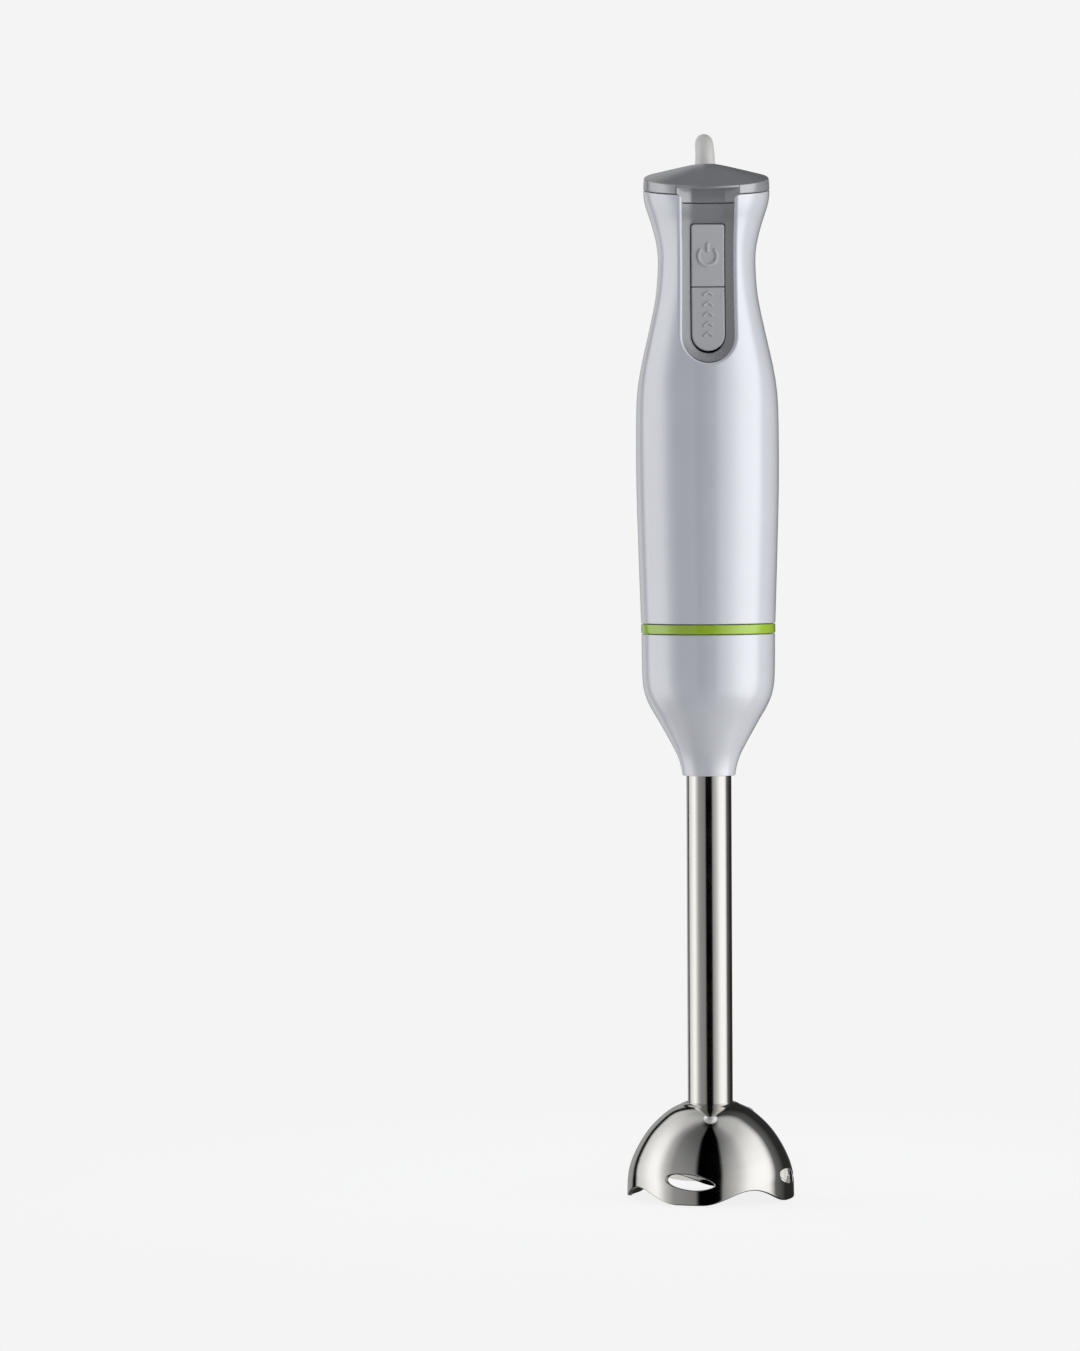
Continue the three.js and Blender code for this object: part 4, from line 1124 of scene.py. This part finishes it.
def floor_material():
    """Bright by itself, so that shadows stay faint, clear at its border and clear from below."""
    material = bpy.data.materials.new("floor")
    material.use_nodes = True
    tree = material.node_tree
    tree.nodes.clear()
    place = add_node(tree, "TexCoord").outputs["Object"]
    away = add_node(tree, "VectorMath", {0: place})
    away.operation = "LENGTH"
    fade = add_node(tree, "MapRange", {
        "Value": away.outputs["Value"], "From Min": FLOOR_FADE[0], "From Max": FLOOR_FADE[1]})
    fade.interpolation_type = "SMOOTHSTEP"
    below = add_node(tree, "NewGeometry").outputs["Backfacing"]
    share = add_node(tree, "Math", {0: fade.outputs["Result"], 1: below})
    share.operation = "MAXIMUM"
    glow = add_node(tree, "Emission", {"Color": (*PAPER, 1), "Strength": FLOOR_GLOW})
    diffuse = add_node(tree, "BsdfDiffuse", {"Color": (FLOOR_GREY, FLOOR_GREY, FLOOR_GREY, 1)})
    both = add_node(tree, "AddShader", {0: glow.outputs["Emission"], 1: diffuse.outputs["BSDF"]})
    clear = add_node(tree, "BsdfTransparent").outputs["BSDF"]
    surface = add_node(tree, "MixShader", {
        "Fac": share.outputs["Value"], 1: both.outputs["Shader"], 2: clear})
    add_node(tree, "OutputMaterial", {"Surface": surface.outputs["Shader"]})
    return material


def make_floor():
    """A pale floor that fades into the pale surroundings and isn't mirrored in the steel."""
    half = FLOOR_SIZE / 2
    mesh = bpy.data.meshes.new("floor")
    corners = [(-half, -half, 0), (half, -half, 0), (half, half, 0), (-half, half, 0)]
    mesh.from_pydata(corners, [], [(0, 1, 2, 3)])
    mesh.materials.append(floor_material())
    obj = add_object("floor", mesh)
    obj.location = FLOOR_AT
    obj.visible_glossy = False


# What shiny surfaces mirror: brightness by compass angle in degrees from the camera, positive to its right.
GLOSS_ROUND = [
    (-180, 0.14), (-165, 0.3), (-145, 0.28), (-138, 0.0), (-131, 0.0), (-124, 0.55), (-109, 0.68),
    (-94, 0.88), (-82, 0.93), (-76, 0.8), (-67, 0.48), (-54, 0.25), (-23, 0.18), (-18, 0.0),
    (12, 0.0), (16, 0.24), (35, 0.48), (52, 0.85), (64, 0.93), (80, 0.93), (88, 0.84),
    (94, 0.5), (100, 0.11), (116, 0.06), (124, 0.02), (155, 0.02), (180, 0.14),
]
# And by height above the horizon.
GLOSS_UP = [(-90, 0.05), (-55, 0.06), (-38, 0.3), (-22, 0.9), (5, 1.0), (25, 1.0), (40, 0.85), (60, 0.5),
            (80, 0.36), (85, 0.05), (90, 0.0)]
# What lights matt surfaces, the same way.
SOFT_ROUND = [
    (-180, 0.1), (-158, 0.3), (-138, 0.9), (-124, 1.0), (-103, 1.0), (-90, 0.3), (-80, 0.0),
    (-4, 0.0), (18, 0.24), (34, 0.44), (55, 0.71), (90, 0.58), (115, 0.18), (180, 0.1),
]
SOFT_UP = [(-90, 0.2), (-30, 0.8), (10, 1.0), (35, 0.7), (60, 0.15), (90, 0.0)]
GLOSS_STRENGTH, SOFT_STRENGTH = 1.2, 2.7
FILL_STRENGTH, FILL_COLOR = 0.235, (0.90, 0.97, 1.1)
GLOSS_WRAP = 0.3  # how much further round the mirrored lights reach as they rise


def make_world():
    """White for the camera; for everything else a dark studio with a soft light on either hand."""
    world = bpy.data.worlds.new("studio")
    bpy.context.scene.world = world
    world.use_nodes = True
    tree = world.node_tree
    tree.nodes.clear()

    def calc(operation, *values):
        node = add_node(tree, "Math", dict(enumerate(values)))
        node.operation = operation
        return node.outputs["Value"]

    def background(strength, color):
        wanted = {"Strength": strength, "Color": color}
        return add_node(tree, "Background", wanted).outputs["Background"]

    def chosen(factor, first, second):
        return add_node(tree, "MixShader", {"Fac": factor, 1: first, 2: second}).outputs["Shader"]

    def levels(factor, stops, lowest, span):
        """Grey levels along a factor, from (degrees, level) stops."""
        return add_ramp(tree, factor, [((angle - lowest) / span, (level,) * 3) for angle, level in stops])

    place = add_node(tree, "TexCoord").outputs["Generated"]
    along = add_node(tree, "SeparateXYZ", {"Vector": place}).outputs
    turn = calc("ARCTAN2", along["X"], calc("MULTIPLY", along["Y"], -1.0))
    rise = calc("MAXIMUM", along["Z"], 0.0)
    up_share = calc("MULTIPLY_ADD", calc("ARCSINE", along["Z"]), 1 / pi, 0.5)

    def studio(by_turn, by_height, wrap):
        pulled = calc("MULTIPLY", turn, calc("MULTIPLY_ADD", rise, -wrap, 1.0))
        across = levels(calc("MULTIPLY_ADD", pulled, 1 / TAU, 0.5), by_turn, -180, 360)
        upward = levels(up_share, by_height, -90, 180)
        product = tree.nodes.new("ShaderNodeMix")
        product.data_type = "RGBA"
        product.blend_type = "MULTIPLY"
        product.inputs["Factor"].default_value = 1
        tree.links.new(across, product.inputs["A"])
        tree.links.new(upward, product.inputs["B"])
        return product.outputs["Result"]

    rays = add_node(tree, "LightPath").outputs
    mirrored = background(GLOSS_STRENGTH, studio(GLOSS_ROUND, GLOSS_UP, GLOSS_WRAP))
    lights = background(SOFT_STRENGTH, studio(SOFT_ROUND, SOFT_UP, 0.0))
    soft = add_node(tree, "AddShader", {0: lights, 1: background(FILL_STRENGTH, (*FILL_COLOR, 1))})
    room = chosen(rays["Is Glossy Ray"], soft.outputs["Shader"], mirrored)
    seen = chosen(rays["Is Camera Ray"], room, background(1.0, (*PAPER, 1)))
    add_node(tree, "OutputWorld", {"Surface": seen})


bpy.context.scene.view_settings.view_transform = "Standard"
make_world()
make_floor()
